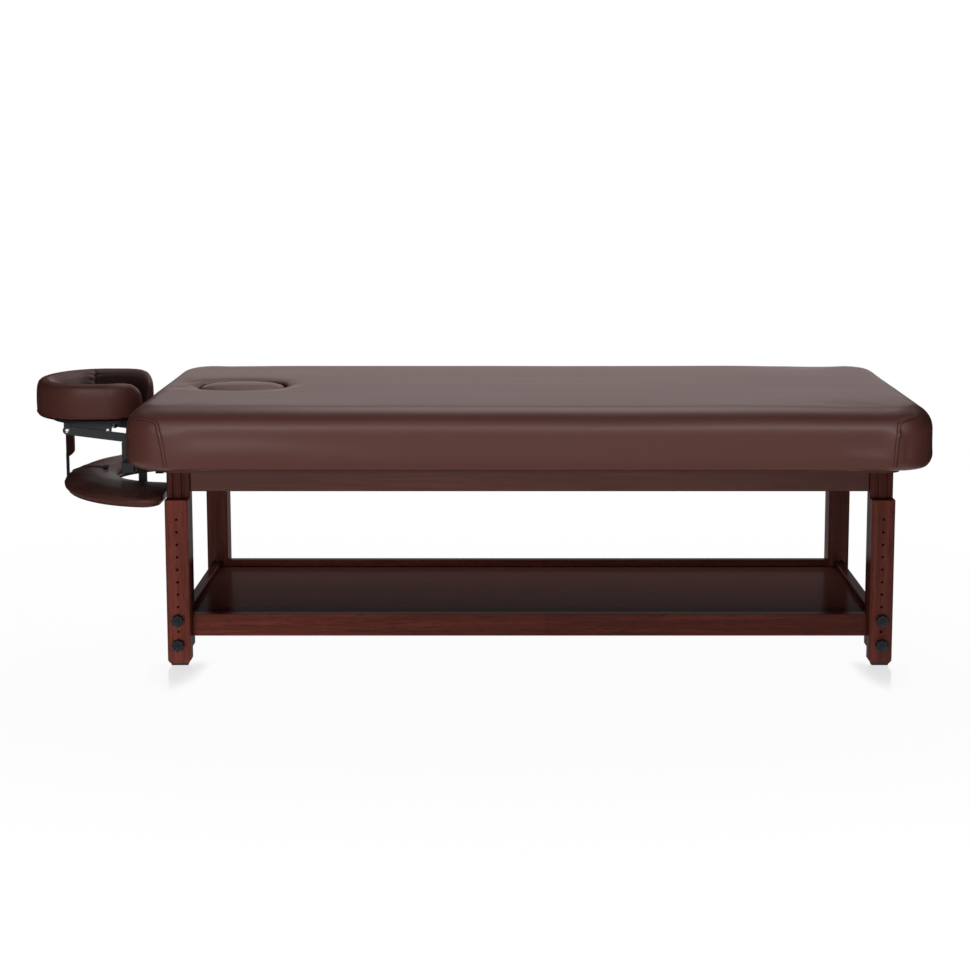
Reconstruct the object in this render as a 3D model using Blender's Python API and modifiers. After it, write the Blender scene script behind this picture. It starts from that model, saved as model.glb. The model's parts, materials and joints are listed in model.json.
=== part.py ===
"""Massage table: a padded top on a height-adjusting wooden frame, with a face cradle and an arm shelf.

Metres, +Z up, the floor at z = 0, the head of the table towards -X and its front towards -Y.
The pieces are drawn in table coordinates, whose X is measured from the middle of the padded top.
"""

import math

import bmesh
import bpy
from mathutils import Matrix, Vector

# Fits
FIT = 0.0003                    # gap between pieces that touch
SOFT_FIT = 0.0008               # gap round the padded plug
WELD = 0.000001                 # points closer than this are one point
OVERCUT = 0.004                 # how far a cutter runs past the face it opens

# Padded top
TABLE_HEIGHT = 0.620            # floor to the upper edge of the top, at the lowest setting
TOP_LENGTH = 1.880
TOP_WIDTH = 0.762
TOP_THICKNESS = 0.144
TOP_CORNER_RADIUS = 0.100
TOP_UPPER_RADIUS = 0.055
TOP_LOWER_RADIUS = 0.020
TOP_BULGE = 0.004
TOP_CROWN = 0.003
CROWN_RADIUS = 0.012            # least corner radius on the crowned upper face
DECK_THICKNESS = 0.015
DECK_INSET = 0.080
DECK_CORNER_RADIUS = 0.030

# Face hole and its plug
FACE_HOLE_LENGTH = 0.215
FACE_HOLE_WIDTH = 0.150
FACE_HOLE_FROM_HEAD = 0.230     # head end to the middle of the hole
FACE_HOLE_POWER = 2.6
FACE_HOLE_RIM = 0.008
FACE_HOLE_LEDGE = 0.010
PLUG_RECESS = 0.003
PLUG_EDGE_RADIUS = 0.014
PLUG_CROWN = 0.004
PLUG_FLAT_INSET = 0.045         # plug's edge to its flat middle

# Posts and legs
FRAME_LENGTH = 1.696            # over the outer faces of the legs, along X
FRAME_WIDTH = 0.597             # over the outer faces of the legs, along Y
POST_WIDTH = 0.054
POST_DEPTH = 0.030
LEG_DEPTH = 0.030
LEG_LENGTH = 0.389
EDGE_CHAMFER = 0.003
RAIL_CHAMFER = 0.0015
FOOT_CHAMFER = 0.007
GROOVE_WIDTH = 0.008
GROOVE_DEPTH = 0.006
GROOVE_SPACING = 0.021
TONGUE_CLEARANCE = 0.0004

# Height holes, bolts and knobs
HOLE_PITCH = 0.0297
HOLE_END_MARGIN = 0.0455        # leg end to the nearest hole
HOLE_DIAMETER = 0.0065
BOLT_STEP = 2                   # the two bolts of a leg sit this many holes apart
BOLT_DIAMETER = 0.006
BOLT_HEAD_DIAMETER = 0.013
BOLT_HEAD_HEIGHT = 0.004
POST_END_MARGIN = 0.0155        # lower bolt to the bottom end of the post
KNOB_DIAMETER = 0.029
KNOB_HUB_DIAMETER = 0.017
KNOB_HUB_HEIGHT = 0.005
KNOB_HEAD_HEIGHT = 0.015
KNOB_LOBES = 8
KNOB_LOBE_DEPTH = 0.0011
KNOB_EDGE = 0.0025

# Glides
GLIDE_HEIGHT = 0.006
GLIDE_INSET = 0.005
GLIDE_CHAMFER = 0.0015

# Aprons and shelf
APRON_HEIGHT = 0.052
APRON_THICKNESS = 0.022
END_APRON_REVEAL = 0.002
SHELF_HEIGHT = 0.061            # floor to the underside of the shelf rails
SHELF_RAIL_HEIGHT = 0.0525
SHELF_RAIL_THICKNESS = 0.022
SHELF_RECESS = 0.016
SHELF_PANEL_THICKNESS = 0.012
SHELF_LEDGE = 0.009

# Face cushion and platform
CRADLE_REACH = 0.273            # head end of the top to the outer end of the face cushion
FACE_CUSHION_GAP = 0.007        # tips of the face cushion to the head end of the top
FACE_CUSHION_WIDTH = 0.300
FACE_CUSHION_LIMB = 0.080
FACE_CUSHION_THICKNESS = 0.083
FACE_CUSHION_RISE = 0.015       # its top above the table's top
FACE_CUSHION_NOSE = 0.139       # length of its curved end
FACE_CUSHION_TIP_ROUND = 0.034  # length over which its tips round off
FACE_CUSHION_TIP_FLAT = 0.45    # width left at the very tip, as a share of its limb
FACE_CUSHION_CURL = 0.050       # how far its tips turn in towards each other
FACE_CUSHION_CURL_LENGTH = 0.085
FACE_PAD_SEAM = 0.45            # height of its widest line, as a share of its thickness
FACE_PAD_POWER = 3.4            # fullness of its upper and lower skins
FACE_PAD_LOWER_POWER = 5.0
PLATFORM_THICKNESS = 0.010
PLATFORM_INSET = 0.006
PLATFORM_OVERHANG = 0.030       # cushion's outer side and tips beyond the platform's, on top of the inset

# Cradle base and arms
BASE_GAP = 0.015                # head end of the top to the base bar
BASE_BAR_DEPTH = 0.030
BASE_BAR_HEIGHT = 0.027
BASE_BAR_MARGIN = 0.017         # dowel axis to the end of the base bar
CHEEK_DEPTH = 0.039
CHEEK_RADIUS = 0.011
PLATE_THICKNESS = 0.005
ARM_SPAN = 0.170                # over the outer faces of the two arms
ARM_RADIUS = 0.0106
ARM_PIVOT_REACH = 0.032         # head end of the top to the lower arm pivot
PLATFORM_PIVOT_REACH = 0.185    # head end of the top to the platform pivot
ARM_RISE = 0.0195               # platform pivot above the arm pivot
PLATFORM_PIVOT_DROP = 0.021     # platform's underside to its pivot
BRACKET_RADIUS = 0.009
LOCK_ROD_REACH = 0.087
ROD_DIAMETER = 0.008
ROD_HEAD_DIAMETER = 0.012
ROD_HEAD_HEIGHT = 0.0025
LOCK_ROD_DIAMETER = 0.007
LEVER_LENGTH = 0.066
LEVER_WIDTH = 0.016
LEVER_BOSS_RADIUS = 0.0085
LEVER_THICKNESS = 0.009
LEVER_BOSS_ARC = 120            # degrees of the boss each side of its far point
DOWEL_DIAMETER = 0.019
DOWEL_SPACING = 0.215
DOWEL_DROP = 0.0245             # top of the frame to the dowel axis
DOWEL_LENGTH = 0.232
DOWEL_SOCKET = 0.018
DOWEL_CHAMFER = 0.003

# Arm shelf and its straps
ARM_PAD_GAP = 0.008             # legs' end faces to the tips of the arm pad
ARM_PAD_LENGTH = 0.290
ARM_PAD_NOSE = 0.276            # length of its curved end
ARM_PAD_WIDTH = 0.620
ARM_PAD_THICKNESS = 0.022
ARM_PAD_DROP = 0.028            # dowel axis to the top of the arm pad
ARM_PAD_SEAM = 0.3              # height of its widest line, as a share of its thickness
ARM_PAD_POWER = 3.0             # fullness of its upper and lower skins
ARM_PAD_LOWER_POWER = 6.0
ARM_PAD_TIP_ROUND = 0.030       # length over which its tips round off
ARM_PAD_TIP_FLAT = 0.55         # width left at the very tip, as a share of its limb
ARM_OPENING_LENGTH = 0.165
ARM_OPENING_WIDTH = 0.244
ARM_BOARD_THICKNESS = 0.0065
ARM_BOARD_INSET = 0.008
STRAP_THICKNESS = 0.0018
REAR_STRAP_WIDTH = 0.021
STRAP_LOOP_ARC = 160            # degrees the loop's outer layer runs on past the dowel's far side
SHELF_PIN_DIAMETER = 0.006
SHELF_PIN_END = 0.003           # how far a shelf pin shows past its strap
FRONT_STRAP_WIDTH = 0.025
FRONT_STRAP_OFFSET = 0.055      # middle of the table to the front strap
FRONT_STRAP_TAB_WIDTH = 0.017
FRONT_STRAP_TAB_DROP = 0.062    # platform pivot to the end of the strap's sewn tab
FRONT_STRAP_TAPER = 0.010
FRONT_STRAP_SEAT = 0.0006       # strap's lower end above the pad

# Facets
CORNER_STEPS = 7
EDGE_STEPS = 5
OVAL_STEPS = 32
ROUND_STEPS = 20
SMALL_ROUND_STEPS = 12
KNOB_STEPS = 4                  # points in each lobe
RIM_STEPS = 3
PAD_STATIONS = 41
PAD_SECTION = 20
CROWN_SHARES = (0.2, 0.45, 0.7)  # rings on the crowned upper face, as shares of the way in
DOME = ((0.0, 1.0), (0.6, 0.85), (1.0, 0.25), (1.0, 0.0))  # a rod head's radius and height, as shares
SHARP_ANGLE = 35                # degrees between faces that meet at a sharp edge
AXIS_SIZE = 0.03                # size that a pivot is drawn at

# Worked out from the driving dimensions
HEAD_END = -TOP_LENGTH / 2
TABLE_X = CRADLE_REACH / 2      # puts the middle of the whole object at x = 0
TOP_UNDERSIDE = TABLE_HEIGHT - TOP_THICKNESS
DECK_TOP = TOP_UNDERSIDE - FIT
DECK_BOTTOM = DECK_TOP - DECK_THICKNESS
FRAME_TOP = DECK_BOTTOM - FIT
LEG_X = (FRAME_LENGTH - POST_WIDTH) / 2
LEG_FACE = FRAME_WIDTH / 2
LEG_BACK = LEG_FACE - LEG_DEPTH
POST_FACE = LEG_BACK - FIT
POST_BACK = POST_FACE - POST_DEPTH
POST_INNER_X = LEG_X - POST_WIDTH / 2
LEG_TOP = GLIDE_HEIGHT + FIT + LEG_LENGTH
LEG_BOTTOM = GLIDE_HEIGHT + FIT
HOLE_COUNT = int((LEG_LENGTH - 2 * HOLE_END_MARGIN) / HOLE_PITCH + 0.5) + 1
HOLE_HEIGHTS = [LEG_TOP - HOLE_END_MARGIN - i * HOLE_PITCH for i in range(HOLE_COUNT)]
BOLT_HEIGHTS = {"lower": HOLE_HEIGHTS[-1], "upper": HOLE_HEIGHTS[-1 - BOLT_STEP]}
POST_BOTTOM = BOLT_HEIGHTS["lower"] - POST_END_MARGIN
FACE_HOLE_X = HEAD_END + FACE_HOLE_FROM_HEAD

FACE_CUSHION_BOTTOM = TABLE_HEIGHT + FACE_CUSHION_RISE - FACE_CUSHION_THICKNESS
PLATFORM_TOP = FACE_CUSHION_BOTTOM - FIT
PLATFORM_BOTTOM = PLATFORM_TOP - PLATFORM_THICKNESS
PLATFORM_PIVOT = Vector((HEAD_END - PLATFORM_PIVOT_REACH, 0, PLATFORM_BOTTOM - PLATFORM_PIVOT_DROP))
ARM_PIVOT = Vector((HEAD_END - ARM_PIVOT_REACH, 0, PLATFORM_PIVOT.z - ARM_RISE))
LOCK_PIVOT = Vector((HEAD_END - LOCK_ROD_REACH, 0, PLATFORM_PIVOT.z))
ARM_OUTER = ARM_SPAN / 2
ARM_INNER = ARM_OUTER - PLATE_THICKNESS
BRACKET_OUTER = ARM_INNER - FIT
BRACKET_INNER = BRACKET_OUTER - PLATE_THICKNESS
BASE_RIGHT = HEAD_END - BASE_GAP
DOWEL_Y = DOWEL_SPACING / 2
DOWEL_Z = FRAME_TOP - DOWEL_DROP

ARM_PAD_TIP = -FRAME_LENGTH / 2 - ARM_PAD_GAP
ARM_PAD_TOP = DOWEL_Z - ARM_PAD_DROP
ARM_PAD_BOTTOM = ARM_PAD_TOP - ARM_PAD_THICKNESS
ARM_BOARD_TOP = ARM_PAD_BOTTOM - FIT
ARM_BOARD_BOTTOM = ARM_BOARD_TOP - ARM_BOARD_THICKNESS
REAR_STRAP_INNER = DOWEL_Y - DOWEL_DIAMETER / 2 - FIT - STRAP_THICKNESS
SHELF_PIVOT = Vector((HEAD_END, 0, (ARM_BOARD_TOP + ARM_BOARD_BOTTOM) / 2))

CORNERS = {
    "front_head": (-1, -1),
    "front_foot": (1, -1),
    "back_head": (-1, 1),
    "back_foot": (1, 1),
}
SIDES = {"near": -1, "far": 1}


# Scene and materials

def clear_scene():
    for obj in list(bpy.data.objects):
        bpy.data.objects.remove(obj)


def new_collection(name):
    collection = bpy.data.collections.new(name)
    bpy.context.scene.collection.children.link(collection)
    return collection


def new_material(name, colour, roughness, metallic=0.0):
    material = bpy.data.materials.new(name)
    material.use_nodes = True
    shader = material.node_tree.nodes["Principled BSDF"]
    shader.inputs["Base Color"].default_value = (*colour, 1.0)
    shader.inputs["Roughness"].default_value = roughness
    shader.inputs["Metallic"].default_value = metallic
    return material


def new_pivot(name, point, parent=None):
    """An empty on a joint's axis. Points are in table coordinates."""
    empty = bpy.data.objects.new(name, None)
    empty.empty_display_size = AXIS_SIZE
    PARTS.objects.link(empty)
    POINTS[name] = Vector(point)
    if parent is None:
        empty.location = Vector(point) + Vector((TABLE_X, 0, 0))
    else:
        empty.parent = parent
        empty.location = Vector(point) - POINTS[parent.name]
    return empty


def piece(name, bm, material, pivot, origin=None):
    """One named part from a mesh in table coordinates, hung on a pivot with its origin there."""
    origin = POINTS[pivot.name] if origin is None else Vector(origin)
    bmesh.ops.translate(bm, verts=bm.verts, vec=-origin)
    mesh = bpy.data.meshes.new(name)
    bm.to_mesh(mesh)
    bm.free()
    mesh.materials.append(material)
    mesh.shade_smooth()
    mesh.set_sharp_from_angle(angle=math.radians(SHARP_ANGLE))
    obj = bpy.data.objects.new(name, mesh)
    PARTS.objects.link(obj)
    POINTS[name] = origin
    obj.parent = pivot
    obj.location = origin - POINTS[pivot.name]
    return obj


def cut(obj, bm, operation="DIFFERENCE"):
    """Take a tool mesh in table coordinates away from a part, or add it."""
    bmesh.ops.translate(bm, verts=bm.verts, vec=-POINTS[obj.name])
    mesh = bpy.data.meshes.new(obj.name + "_tool")
    bm.to_mesh(mesh)
    bm.free()
    tool = bpy.data.objects.new(obj.name + "_tool", mesh)
    TOOLS.objects.link(tool)
    tool.parent = obj
    tool.hide_render = True
    tool.display_type = "WIRE"
    modifier = obj.modifiers.new(operation.lower(), "BOOLEAN")
    modifier.operation = operation
    modifier.object = tool


# Shapes

def box(low, high, chamfer=0.0):
    """Block between two corners, with all its edges chamfered alike."""
    low = Vector(low)
    high = Vector(high)
    bm = bmesh.new()
    bmesh.ops.create_cube(bm, size=1.0)
    bmesh.ops.scale(bm, verts=bm.verts, vec=high - low)
    bmesh.ops.translate(bm, verts=bm.verts, vec=(low + high) / 2)
    if chamfer:
        bmesh.ops.bevel(bm, geom=bm.edges[:], affect="EDGES", offset=chamfer, segments=1,
                        profile=0.5, material=-1)
    return bm


def rod(start, end, radius, steps):
    """Plain round bar between two points."""
    start = Vector(start)
    end = Vector(end)
    axis = end - start
    turn = Vector((0, 0, 1)).rotation_difference(axis).to_matrix().to_4x4()
    bm = bmesh.new()
    bmesh.ops.create_cone(bm, cap_ends=True, segments=steps, radius1=radius, radius2=radius,
                          depth=axis.length, matrix=Matrix.Translation((start + end) / 2) @ turn)
    return bm


def join(meshes):
    """Several separate bodies in one mesh."""
    whole = bmesh.new()
    for bm in meshes:
        mesh = bpy.data.meshes.new("body")
        bm.to_mesh(mesh)
        bm.free()
        whole.from_mesh(mesh)
        bpy.data.meshes.remove(mesh)
    return whole


def loft(rings):
    """Closed skin through rings of equally many points, capped at both ends."""
    bm = bmesh.new()
    loops = [[bm.verts.new(point) for point in ring] for ring in rings]
    for lower, upper in zip(loops, loops[1:]):
        for i in range(len(lower)):
            j = (i + 1) % len(lower)
            bm.faces.new((lower[i], lower[j], upper[j], upper[i]))
    bm.faces.new(reversed(loops[0]))
    bm.faces.new(loops[-1])
    bmesh.ops.recalc_face_normals(bm, faces=bm.faces)
    return bm


def turned(name, profile, steps, material, pivot, origin, axis):
    """A turned part: its profile of (radius, height) pairs runs from top to bottom along the axis."""
    bm = bmesh.new()
    verts = [bm.verts.new((radius, 0, height)) for radius, height in profile]
    for first, second in zip(verts, verts[1:]):
        bm.edges.new((first, second))
    bmesh.ops.translate(bm, verts=bm.verts, vec=origin)
    obj = piece(name, bm, material, pivot, origin)
    obj.rotation_euler = Vector((0, 0, 1)).rotation_difference(Vector(axis)).to_euler()
    screw = obj.modifiers.new("turn", "SCREW")
    screw.axis = "Z"
    screw.angle = 2 * math.pi
    screw.steps = steps
    screw.render_steps = steps
    screw.use_merge_vertices = True
    screw.merge_threshold = WELD
    return obj


def extruded(outlines, thickness, plane, level):
    """Flat outlines, the first one solid and the rest holes, with their middle at a level of the plane."""
    curve = bpy.data.curves.new("outline", "CURVE")
    curve.dimensions = "2D"
    curve.fill_mode = "BOTH"
    curve.extrude = thickness / 2
    for outline in outlines:
        spline = curve.splines.new("POLY")
        spline.points.add(len(outline) - 1)
        for point, (u, v) in zip(spline.points, outline):
            point.co = (u, v, 0, 1)
        spline.use_cyclic_u = True
    guide = bpy.data.objects.new("outline", curve)
    bpy.context.scene.collection.objects.link(guide)
    evaluated = guide.evaluated_get(bpy.context.evaluated_depsgraph_get())
    mesh = bpy.data.meshes.new_from_object(evaluated)
    bm = bmesh.new()
    bm.from_mesh(mesh)
    bpy.data.objects.remove(guide)
    bpy.data.curves.remove(curve)
    bpy.data.meshes.remove(mesh)
    bmesh.ops.remove_doubles(bm, verts=bm.verts, dist=WELD)
    bmesh.ops.transform(bm, verts=bm.verts, matrix=PLANES[plane])
    shift = {"XY": (0, 0, level), "XZ": (0, level, 0), "YZ": (level, 0, 0)}[plane]
    bmesh.ops.translate(bm, verts=bm.verts, vec=shift)
    bmesh.ops.recalc_face_normals(bm, faces=bm.faces)
    return bm


def arc(centre, radius, start, end, steps):
    """Points on a circle from one angle to another, in degrees."""
    angles = [math.radians(start + (end - start) * i / steps) for i in range(steps + 1)]
    return [(centre[0] + radius * math.cos(a), centre[1] + radius * math.sin(a)) for a in angles]


def circle(centre, radius, steps):
    return arc(centre, radius, 0, 360, steps)[:-1]


def rounded_rectangle(half_x, half_y, radius):
    points = []
    for start, (sign_x, sign_y) in zip((0, 90, 180, 270), ((1, 1), (-1, 1), (-1, -1), (1, -1))):
        centre = (sign_x * (half_x - radius), sign_y * (half_y - radius))
        points += arc(centre, radius, start, start + 90, CORNER_STEPS)
    return points


def bent(value, power):
    """A cosine or sine, bent so that its circle becomes a fuller oval."""
    return math.copysign(abs(value) ** (2 / power), value)


def oval(centre, half_x, half_y, power):
    points = []
    for i in range(OVAL_STEPS):
        turn = 2 * math.pi * i / OVAL_STEPS
        points.append((centre[0] + half_x * bent(math.cos(turn), power),
                       centre[1] + half_y * bent(math.sin(turn), power)))
    return points


def horseshoe(tip, nose_length, length, half_width, stations):
    """Outline open towards +X, from the near tip round the nose to the far tip."""
    straight = length - nose_length
    bow = math.pi * math.sqrt((nose_length ** 2 + half_width ** 2) / 2)
    total = 2 * straight + bow
    points = []
    for share in stations:
        along = share * total
        if along < straight:
            points.append(Vector((tip - along, -half_width)))
        elif along > total - straight:
            points.append(Vector((tip - (total - along), half_width)))
        else:
            turn = math.pi * (along - straight) / bow
            points.append(Vector((tip - straight - nose_length * math.sin(turn),
                                  -half_width * math.cos(turn))))
    return points


def horseshoe_stations():
    """Shares along a horseshoe, closer together towards its tips."""
    return [(1 - math.cos(math.pi * i / (PAD_STATIONS - 1))) / 2 for i in range(PAD_STATIONS)]


def pad_height(across, bottom, thickness, seam, power):
    """Height of a pad's upper skin at a share of the way across its limb."""
    rise = thickness * (1 - seam)
    return bottom + thickness * seam + rise * (1 - abs(2 * across - 1) ** power) ** (1 / power)


def tip_widths(inner, outer, tip_round, tip_flat):
    """Share of its full width that each station of a horseshoe has, so that its tips are round."""
    tip = outer[0].x
    widths = []
    for near, far in zip(inner, outer):
        depth = min((tip - (near.x + far.x) / 2) / tip_round, 1.0)
        widths.append(tip_flat + (1 - tip_flat) * math.sqrt(1 - (1 - depth) ** 2))
    return widths


def horseshoe_pad(inner, outer, widths, bottom, thickness, seam, upper_power, lower_power):
    """Crowned pad between two horseshoe outlines, with round tips and its widest line at the seam."""
    middle = bottom + thickness * seam
    rings = []
    for near, far, width in zip(inner, outer, widths):
        ring = []
        for i in range(PAD_SECTION):
            turn = 2 * math.pi * i / PAD_SECTION
            upper = math.sin(turn) >= 0
            power = upper_power if upper else lower_power
            rise = thickness * (1 - seam) if upper else thickness * seam
            across = (near + far) / 2 + (far - near) / 2 * width * bent(math.cos(turn), power)
            height = middle + rise * math.sqrt(width) * bent(math.sin(turn), power)
            ring.append((across.x, across.y, height))
        rings.append(ring)
    return loft(rings)


def horseshoe_plate(inner, outer, widths, thickness, level):
    """Flat board between two horseshoe outlines, with round tips."""
    inside = []
    outside = []
    for near, far, width in zip(inner, outer, widths):
        centre = (near + far) / 2
        inside.append(centre + (near - centre) * width)
        outside.append(centre + (far - centre) * width)
    outline = outside + inside[::-1]
    low = [(point.x, point.y, level - thickness / 2) for point in outline]
    high = [(point.x, point.y, level + thickness / 2) for point in outline]
    return loft([low, high])


# Padded top

def top_profile():
    """(inset, height) pairs from the underside, round the bulging side, to the crown."""
    pairs = []
    for i in range(EDGE_STEPS + 1):
        turn = math.pi / 2 * i / EDGE_STEPS
        pairs.append((TOP_BULGE + TOP_LOWER_RADIUS * (1 - math.sin(turn)),
                      TOP_LOWER_RADIUS * (1 - math.cos(turn))))
    pairs.append((0, (TOP_THICKNESS + TOP_LOWER_RADIUS - TOP_UPPER_RADIUS) / 2))
    for i in range(EDGE_STEPS + 1):
        turn = math.pi / 2 * i / EDGE_STEPS
        pairs.append((TOP_BULGE + TOP_UPPER_RADIUS * (1 - math.cos(turn)),
                      TOP_THICKNESS - TOP_UPPER_RADIUS * (1 - math.sin(turn))))
    edge = TOP_BULGE + TOP_UPPER_RADIUS
    for share in CROWN_SHARES:
        pairs.append((edge + (TOP_WIDTH / 2 - edge) * share,
                      TOP_THICKNESS + TOP_CROWN * (1 - (1 - share) ** 2)))
    return pairs


def top_ring(inset, height):
    radius = max(TOP_CORNER_RADIUS - inset, CROWN_RADIUS)
    outline = rounded_rectangle(TOP_LENGTH / 2 - inset, TOP_WIDTH / 2 - inset, radius)
    return [(x, y, TOP_UNDERSIDE + height) for x, y in outline]


def face_oval(inset, height):
    outline = oval((FACE_HOLE_X, 0), FACE_HOLE_LENGTH / 2 - inset, FACE_HOLE_WIDTH / 2 - inset,
                   FACE_HOLE_POWER)
    return [(x, y, height) for x, y in outline]


def build_top():
    cushion = piece("top_cushion", loft([top_ring(*pair) for pair in top_profile()]), VINYL, FRAME)
    rim = TABLE_HEIGHT - FACE_HOLE_RIM
    rings = [face_oval(0, TOP_UNDERSIDE - OVERCUT), face_oval(0, rim)]
    for i in range(1, RIM_STEPS + 1):
        angle = math.pi / 2 * i / RIM_STEPS
        rings.append(face_oval(-FACE_HOLE_RIM * (1 - math.cos(angle)),
                               rim + FACE_HOLE_RIM * math.sin(angle)))
    rings.append(face_oval(-FACE_HOLE_RIM, TABLE_HEIGHT + TOP_CROWN + OVERCUT))
    cut(cushion, loft(rings))

    deck_outline = rounded_rectangle(TOP_LENGTH / 2 - DECK_INSET, TOP_WIDTH / 2 - DECK_INSET,
                                     DECK_CORNER_RADIUS)
    deck_hole = [(x, y) for x, y, _ in face_oval(FACE_HOLE_LEDGE, 0)]
    deck = extruded([deck_outline, deck_hole], DECK_THICKNESS, "XY", (DECK_TOP + DECK_BOTTOM) / 2)
    piece("top_deck", deck, PLYWOOD, FRAME)

    plug_top = TABLE_HEIGHT - PLUG_RECESS
    rings = [face_oval(SOFT_FIT, TOP_UNDERSIDE)]
    for i in range(RIM_STEPS + 1):
        angle = math.pi / 2 * i / RIM_STEPS
        rings.append(face_oval(SOFT_FIT + PLUG_EDGE_RADIUS * (1 - math.cos(angle)),
                               plug_top - PLUG_CROWN - PLUG_EDGE_RADIUS * (1 - math.sin(angle))))
    rings.append(face_oval(PLUG_FLAT_INSET, plug_top))
    piece("face_hole_plug", loft(rings), VINYL, PLUG)


# Posts, legs, bolts and knobs

def leg_section():
    """Section of a front leg: its face towards -Y, and two tongues on its back."""
    half = POST_WIDTH / 2
    face = -LEG_FACE
    back = -LEG_BACK
    reach = GROOVE_DEPTH - TONGUE_CLEARANCE + FIT
    outline = [(-half + EDGE_CHAMFER, face), (half - EDGE_CHAMFER, face), (half, face + EDGE_CHAMFER),
               (half, back)]
    for middle in (GROOVE_SPACING / 2, -GROOVE_SPACING / 2):
        side = GROOVE_WIDTH / 2 - TONGUE_CLEARANCE
        outline += [(middle + side, back), (middle + side, back + reach),
                    (middle - side, back + reach), (middle - side, back)]
    return outline + [(-half, back), (-half, face + EDGE_CHAMFER)]


def trim_foot(bm, side):
    """Chamfer the leg's lower end on one side."""
    corner = Vector((side * POST_WIDTH / 2, 0, LEG_BOTTOM + FOOT_CHAMFER))
    geometry = bm.verts[:] + bm.edges[:] + bm.faces[:]
    sliced = bmesh.ops.bisect_plane(bm, geom=geometry, plane_co=corner, plane_no=(side, 0, -1),
                                    clear_outer=True)
    edges = [item for item in sliced["geom_cut"] if isinstance(item, bmesh.types.BMEdge)]
    bmesh.ops.contextual_create(bm, geom=edges)


def corner_place(x_side, y_side):
    """Turns a front corner's mesh about the leg's middle to its own corner."""
    turn = Matrix.Identity(4) if y_side < 0 else Matrix.Rotation(math.pi, 4, "Z")
    return Matrix.Translation((x_side * LEG_X, 0, 0)) @ turn


def placed(bm, matrix):
    bmesh.ops.transform(bm, verts=bm.verts, matrix=matrix)
    return bm


def build_leg(corner, matrix, pivot):
    bm = extruded([leg_section()], LEG_LENGTH, "XY", (LEG_TOP + LEG_BOTTOM) / 2)
    trim_foot(bm, -1)
    trim_foot(bm, 1)
    bmesh.ops.recalc_face_normals(bm, faces=bm.faces)
    leg = piece("leg_" + corner, placed(bm, matrix), WOOD, pivot)
    holes = [rod((0, -LEG_FACE - OVERCUT, height), (0, -LEG_BACK + OVERCUT, height),
                 HOLE_DIAMETER / 2, SMALL_ROUND_STEPS) for height in HOLE_HEIGHTS]
    cut(leg, placed(join(holes), matrix))
    half = POST_WIDTH / 2 - FOOT_CHAMFER
    glide = box((-half, -LEG_FACE + GLIDE_INSET, 0), (half, -LEG_BACK - GLIDE_INSET, GLIDE_HEIGHT),
                GLIDE_CHAMFER)
    piece("glide_" + corner, placed(glide, matrix), PLASTIC, pivot)


def build_post(corner, matrix):
    half = POST_WIDTH / 2
    bm = box((-half, -POST_FACE, POST_BOTTOM), (half, -POST_BACK, FRAME_TOP), RAIL_CHAMFER)
    post = piece("post_" + corner, placed(bm, matrix), WOOD, FRAME)
    tools = []
    for middle in (-GROOVE_SPACING / 2, GROOVE_SPACING / 2):
        tools.append(box((middle - GROOVE_WIDTH / 2, -POST_FACE - OVERCUT, POST_BOTTOM - OVERCUT),
                         (middle + GROOVE_WIDTH / 2, -POST_FACE + GROOVE_DEPTH, FRAME_TOP + OVERCUT)))
    cut(post, placed(join(tools), matrix))
    bores = []
    heads = []
    for height in BOLT_HEIGHTS.values():
        bores.append(rod((0, -POST_FACE - OVERCUT, height), (0, -POST_BACK + OVERCUT, height),
                         BOLT_DIAMETER / 2 + FIT, SMALL_ROUND_STEPS))
        heads.append(rod((0, -POST_BACK - BOLT_HEAD_HEIGHT - FIT, height),
                         (0, -POST_BACK + OVERCUT, height),
                         BOLT_HEAD_DIAMETER / 2 + FIT, SMALL_ROUND_STEPS))
    cut(post, placed(join(bores), matrix))
    cut(post, placed(join(heads), matrix))


def bolt_profile():
    """From the head at the post's inner face to the end of the shank at its outer face."""
    head = BOLT_HEAD_DIAMETER / 2
    shank = BOLT_DIAMETER / 2
    return [(0, 0), (head, 0), (head, -BOLT_HEAD_HEIGHT), (shank, -BOLT_HEAD_HEIGHT),
            (shank, -POST_DEPTH), (0, -POST_DEPTH)]


def knob_ring(radius, lobe_depth, height):
    points = []
    count = KNOB_LOBES * KNOB_STEPS
    for i in range(count):
        turn = 2 * math.pi * i / count
        reach = radius + lobe_depth * (math.cos(KNOB_LOBES * turn) - 1)
        points.append((reach * math.cos(turn), -height, reach * math.sin(turn)))
    return points


def knob_mesh():
    """Lobed hand knob, turning about Y, with its hub's face at y = 0 and its head towards -Y."""
    radius = KNOB_DIAMETER / 2
    end = KNOB_HUB_HEIGHT + KNOB_HEAD_HEIGHT
    hub = KNOB_HUB_DIAMETER / 2
    return loft([knob_ring(hub, 0, 0), knob_ring(hub, 0, KNOB_HUB_HEIGHT),
                 knob_ring(radius, KNOB_LOBE_DEPTH, KNOB_HUB_HEIGHT + KNOB_EDGE),
                 knob_ring(radius, KNOB_LOBE_DEPTH, end - KNOB_EDGE),
                 knob_ring(radius - KNOB_EDGE, KNOB_LOBE_DEPTH, end)])


def build_corner(corner, x_side, y_side, leg_pivot):
    matrix = corner_place(x_side, y_side)
    build_leg(corner, matrix, leg_pivot)
    build_post(corner, matrix)
    for level, height in BOLT_HEIGHTS.items():
        label = corner + "_" + level
        head = matrix @ Vector((0, -POST_BACK, height))
        turned("bolt_" + label, bolt_profile(), SMALL_ROUND_STEPS, STEEL, FRAME, head, (0, -y_side, 0))
        seat = matrix @ Vector((0, -LEG_FACE - FIT, height))
        turn = matrix.to_3x3().to_4x4()
        knob = placed(knob_mesh(), Matrix.Translation(seat) @ turn)
        piece("knob_" + label, knob, PLASTIC, FRAME, seat)


# Aprons and shelf

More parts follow.
